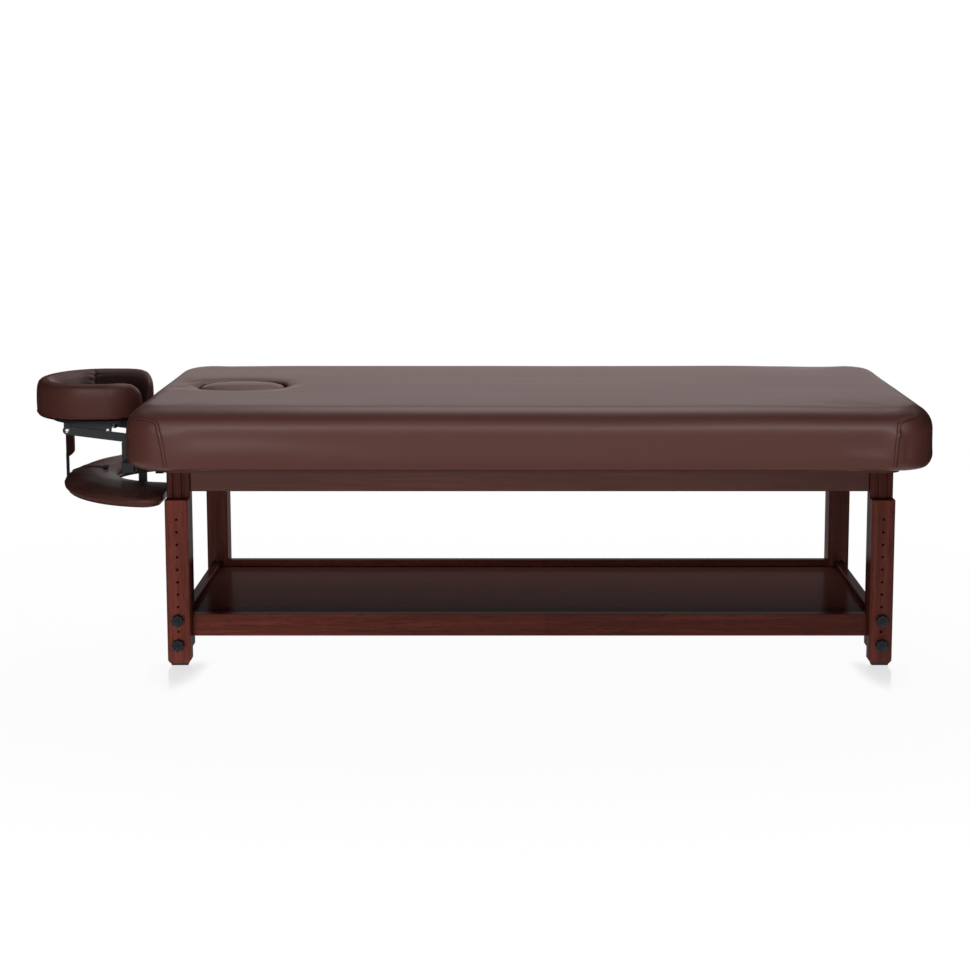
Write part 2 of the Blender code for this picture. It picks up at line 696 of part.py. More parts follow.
def build_aprons():
    low = FRAME_TOP - APRON_HEIGHT
    reach = POST_INNER_X - FIT
    for name, side in (("front", -1), ("back", 1)):
        edges = sorted((side * POST_BACK, side * (POST_BACK + APRON_THICKNESS)))
        bm = box((-reach, edges[0], low), (reach, edges[1], FRAME_TOP), RAIL_CHAMFER)
        piece("apron_" + name, bm, WOOD, FRAME)
    outer = FRAME_LENGTH / 2 - END_APRON_REVEAL
    span = POST_BACK - FIT
    for name, side in (("head", -1), ("foot", 1)):
        edges = sorted((side * outer, side * (outer - APRON_THICKNESS)))
        bm = box((edges[0], -span, low), (edges[1], span, FRAME_TOP), RAIL_CHAMFER)
        apron = piece("apron_" + name, bm, WOOD, FRAME)
        if name == "head":
            bores = [rod((edges[0] - OVERCUT, y * DOWEL_Y, DOWEL_Z),
                         (edges[1] + OVERCUT, y * DOWEL_Y, DOWEL_Z),
                         DOWEL_DIAMETER / 2 + FIT, ROUND_STEPS) for y in SIDES.values()]
            cut(apron, join(bores))


def build_shelf():
    low = SHELF_HEIGHT
    high = SHELF_HEIGHT + SHELF_RAIL_HEIGHT
    panel_top = high - SHELF_RECESS
    panel_low = panel_top - SHELF_PANEL_THICKNESS
    reach = POST_INNER_X - FIT
    inner = POST_BACK
    outer = POST_BACK + SHELF_RAIL_THICKNESS
    chamfer = RAIL_CHAMFER
    for name, side in (("front", -1), ("back", 1)):
        section = [(inner, high - chamfer), (inner + chamfer, high), (outer - chamfer, high),
                   (outer, high - chamfer), (outer, low + chamfer), (outer - chamfer, low),
                   (inner - SHELF_LEDGE, low), (inner - SHELF_LEDGE, panel_low - FIT),
                   (inner, panel_low - FIT)]
        outline = [(side * y, z) for y, z in section]
        piece("shelf_rail_" + name, extruded([outline], 2 * reach, "YZ", 0), WOOD, FRAME)
    span = POST_BACK - FIT
    half = SHELF_RAIL_THICKNESS / 2
    for name, side in (("head", -1), ("foot", 1)):
        middle = side * LEG_X
        bm = box((middle - half, -span, low), (middle + half, span, high), chamfer)
        piece("shelf_rail_" + name, bm, WOOD, FRAME)
    panel_x = LEG_X - half - FIT
    panel = box((-panel_x, -inner + FIT, panel_low), (panel_x, inner - FIT, panel_top))
    piece("shelf_panel", panel, PANEL, FRAME)


# Face cradle

def rod_profile(half_length, radius, head_radius, head_height):
    """Round rod with a domed head on each end."""
    head = [(head_radius * r, half_length + head_height * z) for r, z in DOME]
    upper = head + [(radius, half_length)]
    return upper + [(r, -z) for r, z in reversed(upper)]


def build_base():
    bar_left = BASE_RIGHT - BASE_BAR_DEPTH
    bar_low = DOWEL_Z - BASE_BAR_HEIGHT / 2
    bar_end = DOWEL_Y + BASE_BAR_MARGIN
    bar = box((bar_left, -bar_end, bar_low), (BASE_RIGHT, bar_end, bar_low + BASE_BAR_HEIGHT),
              RAIL_CHAMFER)
    base = piece("cradle_base", bar, METAL, CRADLE)
    cheek_left = BASE_RIGHT - CHEEK_DEPTH
    shoulder = (ARM_PIVOT.x, ARM_PIVOT.z)
    outline = [(cheek_left, bar_low), (BASE_RIGHT, bar_low), (BASE_RIGHT, ARM_PIVOT.z)]
    outline += arc(shoulder, CHEEK_RADIUS, 0, 180, SMALL_ROUND_STEPS // 2)
    outline.append((cheek_left, ARM_PIVOT.z - CHEEK_RADIUS))
    level = (BRACKET_OUTER + BRACKET_INNER) / 2
    for side in SIDES.values():
        cut(base, extruded([outline], PLATE_THICKNESS, "XZ", side * level), "UNION")
    past = Vector((0, BRACKET_OUTER + OVERCUT, 0))
    cut(base, rod(ARM_PIVOT - past, ARM_PIVOT + past, ROD_DIAMETER / 2 + FIT, SMALL_ROUND_STEPS))
    sockets = [rod((BASE_RIGHT - DOWEL_SOCKET - FIT, side * DOWEL_Y, DOWEL_Z),
                   (BASE_RIGHT + OVERCUT, side * DOWEL_Y, DOWEL_Z), DOWEL_DIAMETER / 2 + FIT, ROUND_STEPS)
               for side in SIDES.values()]
    cut(base, join(sockets))
    radius = DOWEL_DIAMETER / 2
    profile = [(0, DOWEL_LENGTH), (radius - DOWEL_CHAMFER, DOWEL_LENGTH),
               (radius, DOWEL_LENGTH - DOWEL_CHAMFER), (radius, 0), (0, 0)]
    for name, side in SIDES.items():
        start = Vector((BASE_RIGHT - DOWEL_SOCKET, side * DOWEL_Y, DOWEL_Z))
        turned("cradle_dowel_" + name, profile, ROUND_STEPS, METAL, CRADLE, start, (1, 0, 0))


def build_arms():
    start = (ARM_PIVOT.x, ARM_PIVOT.z)
    end = (PLATFORM_PIVOT.x, PLATFORM_PIVOT.z)
    slope = math.degrees(math.atan2(end[1] - start[1], end[0] - start[0]))
    steps = SMALL_ROUND_STEPS // 2
    outline = arc(start, ARM_RADIUS, slope - 270, slope - 90, steps)
    outline += arc(end, ARM_RADIUS, slope - 90, slope + 90, steps)
    bore = ROD_DIAMETER / 2 + FIT
    holes = [circle(start, bore, SMALL_ROUND_STEPS), circle(end, bore, SMALL_ROUND_STEPS)]
    level = (ARM_OUTER + ARM_INNER) / 2
    for name, side in SIDES.items():
        plate = extruded([outline] + holes, PLATE_THICKNESS, "XZ", side * level)
        piece("cradle_arm_" + name, plate, METAL, ARM)
    profile = rod_profile(ARM_OUTER + FIT, ROD_DIAMETER / 2, ROD_HEAD_DIAMETER / 2, ROD_HEAD_HEIGHT)
    turned("arm_rod", profile, SMALL_ROUND_STEPS, STEEL, ARM, ARM_PIVOT, (0, 1, 0))
    turned("platform_rod", profile, SMALL_ROUND_STEPS, STEEL, ARM, PLATFORM_PIVOT, (0, 1, 0))


def face_outlines(inset, overhang):
    """Outlines and tip widths of the face cushion, drawn in by an inset and, outside, an overhang."""
    tip = HEAD_END - FACE_CUSHION_GAP - inset - overhang
    length = CRADLE_REACH - FACE_CUSHION_GAP - 2 * inset - 2 * overhang
    stations = horseshoe_stations()
    nose = FACE_CUSHION_NOSE - inset - overhang
    half = FACE_CUSHION_WIDTH / 2 - inset - overhang
    limb = FACE_CUSHION_LIMB - 2 * inset - overhang
    outer = horseshoe(tip, nose, length, half, stations)
    inner = horseshoe(tip, nose - limb, length - limb, half - limb, stations)
    return inner, outer, tip_widths(inner, outer, FACE_CUSHION_TIP_ROUND, FACE_CUSHION_TIP_FLAT)


def curled(outline):
    """Face cushion outline with its tips turned in towards each other."""
    tip = outline[0].x
    points = []
    for point in outline:
        near_tip = max(0.0, 1 - (tip - point.x) / FACE_CUSHION_CURL_LENGTH)
        drawn = FACE_CUSHION_CURL * near_tip ** 2
        points.append(Vector((point.x, point.y - math.copysign(drawn, point.y))))
    return points


def build_platform():
    outlines = face_outlines(PLATFORM_INSET, PLATFORM_OVERHANG)
    plate = horseshoe_plate(*outlines, PLATFORM_THICKNESS, (PLATFORM_TOP + PLATFORM_BOTTOM) / 2)
    piece("cradle_platform", plate, METAL, PLATFORM)
    pivot = (PLATFORM_PIVOT.x, PLATFORM_PIVOT.z)
    lock = (LOCK_PIVOT.x, LOCK_PIVOT.z)
    top = PLATFORM_BOTTOM - FIT
    steps = SMALL_ROUND_STEPS // 2
    outline = arc(pivot, BRACKET_RADIUS, 180, 270, steps) + arc(lock, BRACKET_RADIUS, 270, 360, steps)
    outline += [(lock[0] + BRACKET_RADIUS, top), (pivot[0] - BRACKET_RADIUS, top)]
    holes = [circle(pivot, ROD_DIAMETER / 2 + FIT, SMALL_ROUND_STEPS),
             circle(lock, LOCK_ROD_DIAMETER / 2 + FIT, SMALL_ROUND_STEPS)]
    level = (BRACKET_OUTER + BRACKET_INNER) / 2
    for name, side in SIDES.items():
        bracket = extruded([outline] + holes, PLATE_THICKNESS, "XZ", side * level)
        piece("platform_bracket_" + name, bracket, METAL, PLATFORM)
    radius = LOCK_ROD_DIAMETER / 2
    profile = [(0, BRACKET_OUTER), (radius, BRACKET_OUTER), (radius, -BRACKET_OUTER), (0, -BRACKET_OUTER)]
    turned("lock_rod", profile, SMALL_ROUND_STEPS, STEEL, PLATFORM, LOCK_PIVOT, (0, 1, 0))
    inner, outer, widths = face_outlines(0, 0)
    cushion = horseshoe_pad(curled(inner), curled(outer), widths, FACE_CUSHION_BOTTOM,
                            FACE_CUSHION_THICKNESS, FACE_PAD_SEAM, FACE_PAD_POWER, FACE_PAD_LOWER_POWER)
    piece("cradle_cushion", cushion, VINYL, PLATFORM)
    build_lever(lock)


def build_lever(lock):
    """Cam lever on the lock rod, lying under the platform."""
    tip = (lock[0] - LEVER_LENGTH + LEVER_THICKNESS / 2, lock[1])
    steps = SMALL_ROUND_STEPS // 2
    outline = arc(lock, LEVER_BOSS_RADIUS, -LEVER_BOSS_ARC, LEVER_BOSS_ARC, SMALL_ROUND_STEPS)
    outline += arc(tip, LEVER_THICKNESS / 2, 90, 270, steps)
    hole = circle(lock, LOCK_ROD_DIAMETER / 2 + FIT, SMALL_ROUND_STEPS)
    piece("cam_lever", extruded([outline, hole], LEVER_WIDTH, "XZ", 0), PLASTIC, LEVER)


# Arm shelf

def arm_outlines(inset):
    """Inner and outer outlines and tip widths of the arm pad, drawn in by an inset."""
    tip = ARM_PAD_TIP - inset
    stations = horseshoe_stations()
    outer = horseshoe(tip, ARM_PAD_NOSE - inset, ARM_PAD_LENGTH - 2 * inset, ARM_PAD_WIDTH / 2 - inset,
                      stations)
    inner = horseshoe(tip, ARM_OPENING_LENGTH, ARM_OPENING_LENGTH, ARM_OPENING_WIDTH / 2 + inset,
                      stations)
    return inner, outer, tip_widths(inner, outer, ARM_PAD_TIP_ROUND, ARM_PAD_TIP_FLAT)


def strap_landing(strap_x):
    """Height of the arm pad under the front strap's inner corner, where it is highest."""
    corner = FRONT_STRAP_WIDTH / 2 - FRONT_STRAP_OFFSET
    near, far, _ = min(zip(*arm_outlines(0)), key=lambda station: abs(station[1].y - corner))
    across = min((near.x - strap_x) / (near.x - far.x), 1.0)
    return pad_height(across, ARM_PAD_BOTTOM, ARM_PAD_THICKNESS, ARM_PAD_SEAM, ARM_PAD_POWER)


def build_arm_shelf():
    pad = horseshoe_pad(*arm_outlines(0), ARM_PAD_BOTTOM, ARM_PAD_THICKNESS,
                        ARM_PAD_SEAM, ARM_PAD_POWER, ARM_PAD_LOWER_POWER)
    piece("arm_pad", pad, VINYL, SHELF)
    plate = horseshoe_plate(*arm_outlines(ARM_BOARD_INSET), ARM_BOARD_THICKNESS, SHELF_PIVOT.z)
    board = piece("arm_board", plate, VINYL, SHELF)
    for side in SIDES.values():
        start = Vector((0, side * (REAR_STRAP_INNER - SHELF_PIN_END), 0))
        end = Vector((0, side * (ARM_OPENING_WIDTH / 2 + ARM_BOARD_INSET + OVERCUT), 0))
        pin = rod(SHELF_PIVOT + start, SHELF_PIVOT + end, SHELF_PIN_DIAMETER / 2, SMALL_ROUND_STEPS)
        cut(board, pin, "UNION")


def build_rear_straps():
    """Webbing looped over each dowel, hanging down to the shelf's pins."""
    ring = DOWEL_DIAMETER / 2 + FIT
    tail = SHELF_PIVOT.z - SHELF_PIN_DIAMETER
    bore = SHELF_PIN_DIAMETER / 2 + FIT
    for name, side in SIDES.items():
        middle = (DOWEL_Y, DOWEL_Z)
        outline = arc(middle, ring + STRAP_THICKNESS, -STRAP_LOOP_ARC, 180, ROUND_STEPS)
        outline += [(DOWEL_Y - ring - STRAP_THICKNESS, tail), (DOWEL_Y - ring, tail),
                    (DOWEL_Y - ring, DOWEL_Z - ring)]
        hole = circle(middle, ring, ROUND_STEPS)
        outlines = [[(side * y, z) for y, z in points] for points in (outline, hole)]
        webbing = extruded(outlines, REAR_STRAP_WIDTH, "YZ", HEAD_END)
        strap = piece("rear_strap_" + name, webbing, WEBBING, CRADLE)
        start = Vector((0, side * (REAR_STRAP_INNER - OVERCUT), 0))
        end = Vector((0, side * (REAR_STRAP_INNER + STRAP_THICKNESS + OVERCUT), 0))
        cut(strap, rod(SHELF_PIVOT + start, SHELF_PIVOT + end, bore, SMALL_ROUND_STEPS))


def build_front_strap():
    """Strap with a sewn tab round the platform rod, hanging down to the nose of the arm pad."""
    half = FRONT_STRAP_TAB_WIDTH / 2
    x = PLATFORM_PIVOT.x
    z = PLATFORM_PIVOT.z
    strap_x = x - half + STRAP_THICKNESS
    landing = strap_landing(strap_x) + FRONT_STRAP_SEAT
    tab_end = z - FRONT_STRAP_TAB_DROP
    outline = arc((x, z), half, 0, 180, ROUND_STEPS // 2)
    outline += [(x - half, landing), (strap_x, landing), (strap_x, tab_end - FRONT_STRAP_TAPER),
                (x + half, tab_end)]
    hole = circle((x, z), ROD_DIAMETER / 2 + FIT, SMALL_ROUND_STEPS)
    strap = extruded([outline, hole], FRONT_STRAP_WIDTH, "XZ", -FRONT_STRAP_OFFSET)
    piece("front_strap", strap, WEBBING, STRAP)


clear_scene()
POINTS = {}
PLANES = {
    "XY": Matrix.Identity(4),
    "XZ": Matrix.Rotation(math.pi / 2, 4, "X"),
    "YZ": Matrix(((0, 0, 1, 0), (1, 0, 0, 0), (0, 1, 0, 0), (0, 0, 0, 1))),
}
PARTS = new_collection("massage_table")
TOOLS = new_collection("cutters")

VINYL = new_material("brown_vinyl", (0.085, 0.035, 0.030), 0.38)
WOOD = new_material("mahogany", (0.110, 0.022, 0.014), 0.40)
PANEL = new_material("shelf_laminate", (0.035, 0.014, 0.012), 0.25)
PLYWOOD = new_material("plywood", (0.480, 0.330, 0.190), 0.70)
METAL = new_material("black_enamel", (0.012, 0.013, 0.013), 0.45, 0.3)
PLASTIC = new_material("black_plastic", (0.018, 0.021, 0.021), 0.55)
STEEL = new_material("bright_steel", (0.700, 0.700, 0.690), 0.25, 1.0)
WEBBING = new_material("dark_webbing", (0.020, 0.014, 0.013), 0.80)

TABLE = new_pivot("table_centre", (0, 0, 0))
FRAME = new_pivot("frame_lift", (0, 0, 0), TABLE)
PLUG = new_pivot("plug_lift", (FACE_HOLE_X, 0, TOP_UNDERSIDE), FRAME)
CRADLE = new_pivot("cradle_slide", (BASE_RIGHT, 0, DOWEL_Z), FRAME)
ARM = new_pivot("arm_tilt", ARM_PIVOT, CRADLE)
PLATFORM = new_pivot("platform_tilt", PLATFORM_PIVOT, ARM)
LEVER = new_pivot("lever_hinge", LOCK_PIVOT, PLATFORM)
STRAP = new_pivot("strap_hinge", PLATFORM_PIVOT, ARM)
SHELF = new_pivot("shelf_tilt", SHELF_PIVOT, CRADLE)

build_top()
for corner_name, (corner_x, corner_y) in CORNERS.items():
    slide = new_pivot("leg_slide_" + corner_name, (corner_x * LEG_X, corner_y * LEG_FACE, 0), TABLE)
    build_corner(corner_name, corner_x, corner_y, slide)
build_aprons()
build_shelf()
build_base()
build_arms()
build_platform()
build_arm_shelf()
build_rear_straps()
build_front_strap()
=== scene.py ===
"""Upholstery, timber, fittings and studio for a wooden massage table, around its fixed frame.

Metres, +Z up, the head of the table towards -X and its front towards -Y.
"""

import json
import math

import bmesh
import bpy
import numpy as np
from bpy.props import FloatProperty, FloatVectorProperty, IntProperty, PointerProperty
from mathutils import Matrix, Vector, noise
from mathutils.bvhtree import BVHTree

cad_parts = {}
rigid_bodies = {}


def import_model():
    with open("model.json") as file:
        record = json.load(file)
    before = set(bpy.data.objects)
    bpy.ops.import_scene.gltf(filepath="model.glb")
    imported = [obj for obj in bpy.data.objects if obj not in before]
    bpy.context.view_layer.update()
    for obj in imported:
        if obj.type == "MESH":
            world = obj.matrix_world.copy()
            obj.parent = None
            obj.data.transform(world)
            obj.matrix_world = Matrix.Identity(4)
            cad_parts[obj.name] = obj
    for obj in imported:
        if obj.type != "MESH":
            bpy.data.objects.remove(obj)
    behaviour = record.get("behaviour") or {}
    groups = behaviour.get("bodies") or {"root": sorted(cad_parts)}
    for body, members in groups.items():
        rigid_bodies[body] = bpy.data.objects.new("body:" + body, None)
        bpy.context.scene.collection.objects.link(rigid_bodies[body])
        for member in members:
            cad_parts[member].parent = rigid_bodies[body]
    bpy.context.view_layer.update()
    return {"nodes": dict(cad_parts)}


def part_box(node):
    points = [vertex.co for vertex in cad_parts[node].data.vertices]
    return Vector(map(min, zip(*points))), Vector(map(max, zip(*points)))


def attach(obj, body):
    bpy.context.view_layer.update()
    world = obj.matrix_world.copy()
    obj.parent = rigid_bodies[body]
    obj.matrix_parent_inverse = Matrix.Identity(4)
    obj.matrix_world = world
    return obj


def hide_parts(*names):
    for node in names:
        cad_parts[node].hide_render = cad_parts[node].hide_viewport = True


for leftover in list(bpy.data.objects):
    bpy.data.objects.remove(leftover)
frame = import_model()
NODES = frame["nodes"]

bl_info = {
    "name": "Massage Table Looks",
    "version": (1, 0, 0),
    "blender": (4, 5, 0),
    "location": "View3D > Sidebar > Massage Table",
    "description": "Upholstery, timber, fittings and a studio for a massage table",
    "category": "Object",
}

CORNERS = ("front_head", "front_foot", "back_head", "back_foot")
KNOBS = [corner + "_" + level for corner in CORNERS for level in ("lower", "upper")]
SIDES = {"near": -1, "far": 1}
TINY = 0.00001                  # points closer than this are one point
STITCH_SIDES = 6
SHARP_ANGLE = math.radians(50)  # an edge that bends more than this is sharp
PLAIN = (1, 1, 1)               # a pattern that isn't stretched
WHITE = (1.0, 1.0, 1.0)


def size(name, description, default, low=0.0, high=10.0):
    """A length that a user may change."""
    return FloatProperty(name=name, description=description, default=default, min=low, max=high,
                         precision=4, unit="LENGTH", subtype="DISTANCE")


def share(name, description, default, high=1.0):
    """A plain number from nothing upwards."""
    return FloatProperty(name=name, description=description, default=default, min=0.0, max=high)


def tint(name, description, default):
    """A linear colour."""
    return FloatVectorProperty(name=name, description=description, default=default, size=3,
                               min=0.0, max=1.0, subtype="COLOR")


# Settings

class UpholsterySettings(bpy.types.PropertyGroup):
    """Vinyl covers, their stuffing and their seams."""

    vinyl: tint("Vinyl", "Colour of the vinyl covers", (0.083, 0.0278, 0.0216))
    thread: tint("Thread", "Colour of the sewing thread", (0.0100, 0.0045, 0.0040))
    gloss: share("Roughness", "Roughness of the vinyl", 0.39)
    grain: size("Grain", "Width of one cell of the vinyl's grain", 0.0012)
    top_corner: size("Top corner", "Radius of the top's corners, seen from above", 0.100)
    top_upper_edge: size("Upper edge", "Radius of the top's upper edge", 0.055)
    top_lower_edge: size("Lower edge", "Radius of the top's lower edge", 0.030)
    top_start: size("Top inset", "How much smaller the top's cover starts before it swells", 0.004)
    top_skin: size("Top skin", "Width of one face of the top's cover", 0.0075)
    top_swell: size("Top swell", "Most that the stuffing pushes the top's cover out", 0.005)
    pad_skin: size("Pad skin", "Width of one face of a small pad's cover", 0.005)
    pad_swell: size("Pad swell", "Most that the stuffing pushes a small pad's cover out", 0.004)
    hole_rim: size("Hole rim", "Radius of the rolled rim of the face hole", 0.009)
    hole_power: share("Hole oval", "Fullness of the face hole's oval", 2.6, high=6.0)
    plug_rise: size("Plug rise", "How far the plug's cover stands above its plain form", 0.0035)
    plug_dome: size("Plug dome", "How far the plug's middle stands above its border", 0.0015)
    seam_width: size("Seam width", "Width of the double seam at each corner", 0.0125)
    seam_foot: size("Seam place", "End of the top to the seam, at its foot", 0.1128)
    seam_lean: size("Head seam lean", "How far a head seam leans towards the end on its way up", 0.028)
    seam_lean_foot: size("Foot seam lean", "How far a foot seam leans towards the end on its way up", 0.013)
    seam_sweep: size("Seam sweep", "How far the seam sweeps round the upper edge at its top", 0.046)
    stitch: size("Stitch", "Length of one stitch", 0.0034)
    stitch_gap: size("Stitch gap", "Gap between stitches", 0.0007)
    piping: size("Piping", "Diameter of the arm pad's piping", 0.0036)
    dart_depth: size("Dart", "Depth of the face cushion's darts", 0.0045)
    # painted shade: the vinyl of the face cushion, the arm pad and their trims is darkened by this share,
    # standing in for the light that falls off at the head end
    head_painted_shade: share("Head shade", "Depth of the colour of the face cushion and arm pad", 0.78, high=2.0)


class TimberSettings(bpy.types.PropertyGroup):
    """Stained hardwood, shelf laminate and plywood."""

    stain: tint("Stain", "Middle colour of the stained wood", (0.110, 0.0254, 0.0175))
    stain_dark: tint("Dark stain", "Colour of the wood's dark grain", (0.030, 0.0080, 0.0058))
    stain_light: tint("Light stain", "Colour of the wood's light grain", (0.184, 0.0470, 0.0315))
    apron: tint("Apron", "Colour of the aprons' duller stain", (0.080, 0.034, 0.028))
    laminate: tint("Laminate", "Colour of the shelf panel", (0.044, 0.0150, 0.0125))
    plywood: tint("Plywood", "Colour of the deck's underside", (0.40, 0.27, 0.16))
    pores: size("Pores", "Spacing of the wood's fine grain lines", 0.0022)
    gloss: share("Roughness", "Roughness of the lacquer", 0.34)


class FittingSettings(bpy.types.PropertyGroup):
    """Metal, plastic and webbing."""

    enamel: tint("Enamel", "Colour of the cradle's black enamel", (0.011, 0.013, 0.013))
    plastic: tint("Plastic", "Colour of the knobs and glides", (0.0078, 0.0115, 0.0145))
    steel: tint("Steel", "Colour of the bright rods and rivets", (0.74, 0.74, 0.73))
    webbing: tint("Webbing", "Colour of the woven straps", (0.0105, 0.0095, 0.0095))
    knob_lobes: IntProperty(name="Lobes", description="Lobes round a knob", default=8, min=3, max=24)
    lobe_depth: size("Lobe depth", "Depth of a knob's flutes", 0.0011)
    knob_edge: size("Knob edge", "Radius of a knob's rounded edge", 0.0026)
    weave: size("Weave", "Width of one rib of the webbing", 0.0017)


class StudioSettings(bpy.types.PropertyGroup):
    """Floor, lamps and camera."""

    floor: tint("Floor", "Colour of the floor", (0.93, 0.93, 0.93))
    floor_radius: size("Floor radius", "Radius of the floor", 30.0, high=200.0)
    white: share("White", "Share of plain white in the floor that the camera sees", 0.965)
    shine: share("Shine", "Share of gloss in the floor at the feet", 0.24)
    front: share("Front light", "Brightness of the studio's front", 0.30, high=10.0)
    back: share("Back light", "Brightness of the studio's back", 0.10, high=10.0)
    gloom: share("Gloom", "Brightness of the studio's sides and ceiling", 0.06, high=10.0)
    softbox: share("Softbox", "Power of each softbox beside the camera in watts", 112.0, high=5000.0)
    front_lamp: share("Front lamp", "Power of the low front lamp in watts", 139.0, high=5000.0)
    back_lamp: share("Back lamp", "Power of the high lamp behind in watts", 130.0, high=5000.0)
    overhead: share("Overhead", "Brightness of the panel over the table, in reflections", 4.7, high=20.0)
    eye: FloatVectorProperty(name="Eye", description="Place of the camera", size=3, unit="LENGTH",
                             subtype="TRANSLATION", default=(0.1009, -4.2005, 1.2759))
    dip: FloatProperty(name="Dip", description="How far the camera looks down", subtype="ANGLE",
                       default=math.radians(6.392))
    lens: FloatProperty(name="Lens", description="Focal length in millimetres", default=63.661)
    shift_x: FloatProperty(name="Shift X", description="Sideways lens shift", default=-0.0305)
    shift_y: FloatProperty(name="Shift Y", description="Upright lens shift", default=-0.18)


# Node maths

class Wire:
    """An output socket of a node tree. Python's operators on it add Math nodes."""

    def __init__(self, nodes, socket):
        self.nodes = nodes
        self.socket = socket

    def math(self, operation, *values):
        return self.nodes.add("ShaderNodeMath", {"operation": operation}, dict(enumerate(values)))

    def __add__(self, other):
        return self.math("ADD", self, other)

    def __sub__(self, other):
        return self.math("SUBTRACT", self, other)

    def __rsub__(self, other):
        return self.math("SUBTRACT", other, self)

    def __mul__(self, other):
        return self.math("MULTIPLY", self, other)

    def __pow__(self, other):
        return self.math("POWER", self, other)

    __radd__ = __add__
    __rmul__ = __mul__

    def at_least(self, other):
        return self.math("MAXIMUM", self, other)

    def size(self):
        return self.math("ABSOLUTE", self)

    def wave(self):
        return self.math("SINE", self)

    def ramp(self, low, high):
        """Nothing below one value, one above the other, and a smooth rise between them."""
        return self.nodes.add("ShaderNodeMapRange", {"interpolation_type": "SMOOTHSTEP"},
                              {"Value": self, "From Min": low, "From Max": high})


class Nodes:
    """A node tree whose nodes all come from one method."""

    def __init__(self, tree):
        self.tree = tree

    def add(self, kind, settings=None, sockets=None, output=0):
        """A node with its settings and its sockets' values or links. Gives one of its outputs."""
        node = self.tree.nodes.new(kind)
        for key, value in (settings or {}).items():
            setattr(node, key, value)
        for key, value in (sockets or {}).items():
            self.join(node.inputs[key], value)
        return Wire(self, node.outputs[output])

    def join(self, socket, value):
        if isinstance(value, Wire):
            self.tree.links.new(value.socket, socket)
        elif hasattr(value, "__len__") and len(value) == 3 and socket.type == "RGBA":
            socket.default_value = (*value, 1.0)
        else:
            socket.default_value = value

    def blend(self, factor, first, second):
        """Colour between two colours."""
        return self.add("ShaderNodeMix", {"data_type": "RGBA"}, {0: factor, 6: first, 7: second}, output=2)

    def tone(self, colour, amount):
        """Colour made lighter or darker by a number."""
        return self.add("ShaderNodeVectorMath", {"operation": "SCALE"}, {0: colour, "Scale": amount})

    def place(self, scale=PLAIN, move=(0, 0, 0)):
        """Object coordinates, stretched and moved."""
        coords = self.add("ShaderNodeTexCoord", output=3)
        return self.add("ShaderNodeMapping", {}, {"Vector": coords, "Scale": scale, "Location": move})

    def noise(self, stretch, scale, detail=2.0, roughness=0.5):
        return self.add("ShaderNodeTexNoise", {}, {"Vector": self.place(stretch), "Scale": scale,
                                                   "Detail": detail, "Roughness": roughness})

    def axes(self, vector):
        parts = self.add("ShaderNodeSeparateXYZ", {}, {0: vector}).socket.node
        return [Wire(self, output) for output in parts.outputs]

    def seen_rays(self):
        """One for the rays that show the surroundings, and nothing for those that light the table."""
        path = self.add("ShaderNodeLightPath").socket.node
        camera, glossy, clear = [Wire(self, path.outputs[key])
                                 for key in ("Is Camera Ray", "Is Glossy Ray", "Is Transmission Ray")]
        return camera.at_least(glossy).at_least(clear)

    def relief(self, height, depth, strength=1.0):
        return self.add("ShaderNodeBump", {}, {"Strength": strength, "Distance": depth, "Height": height})


class Finish(Nodes):
    """A material with one Principled shader."""

    def __init__(self, name, **constants):
        self.material = bpy.data.materials.new(name)
        self.material.use_nodes = True
        super().__init__(self.material.node_tree)
        self.shader = self.tree.nodes["Principled BSDF"]
        self.feed(**constants)

    def feed(self, **sockets):
        """Values or wires for the shader's sockets, with spaces as underscores."""
        for key, value in sockets.items():
            self.join(self.shader.inputs[key.replace("_", " ")], value)
        return self.material


FINISHES = {}


def finish(maker, *arguments):
    """A finish that is made once and then shared."""
    key = (maker.__name__, *arguments)
    if key not in FINISHES:
        FINISHES[key] = maker(*arguments)
    return FINISHES[key]


# Finishes

def vinyl_finish(depth=1.0):
    """Tight brown upholstery vinyl: fine cells, a soft sheen and slow changes of tone."""
    looks = bpy.context.scene.table_upholstery
    made = Finish("brown_vinyl_%d" % round(100 * depth), Specular_IOR_Level=0.21 * depth ** 2)
    slow = made.noise((0.6, 1.6, 1.6), 3.0)
    cells = made.add("ShaderNodeTexVoronoi", {"feature": "SMOOTH_F1"},
                     {"Vector": made.place(), "Scale": 1.0 / looks.grain, "Smoothness": 0.6})
    fine = made.noise(PLAIN, 0.45 / looks.grain)
    streaks = made.noise((1.2, 70.0, 70.0), 1.0)
    shade = 0.90 + slow * 0.16 + fine * 0.05 - cells * 0.06
    rough = looks.gloss - 0.06 + slow * 0.05 + streaks * 0.08 + cells * 0.02
    height = cells * 0.7 + fine * 0.3
    # depth darkens the colour and, squared, the sheen: painted shade on the head-end pads and the strap's
    # tab, and the base cloth's own dark colour
    colour = tuple(c * depth for c in looks.vinyl)
    return made.feed(Base_Color=made.tone(colour, shade), Roughness=rough,
                     Normal=made.relief(height, 0.00025, strength=0.22))


def thread_finish():
    """Twisted sewing thread."""
    looks = bpy.context.scene.table_upholstery
    made = Finish("sewing_thread", Roughness=0.62, Specular_IOR_Level=0.02)
    twist = made.noise(PLAIN, 2200.0, detail=1.0)
    return made.feed(Base_Color=made.tone(looks.thread, 0.7 + twist * 0.6))


def stretched(along, lengthwise, crosswise=1.0):
    """Scale of a pattern that runs along one axis."""
    return [lengthwise if axis == along else crosswise for axis in "xyz"]


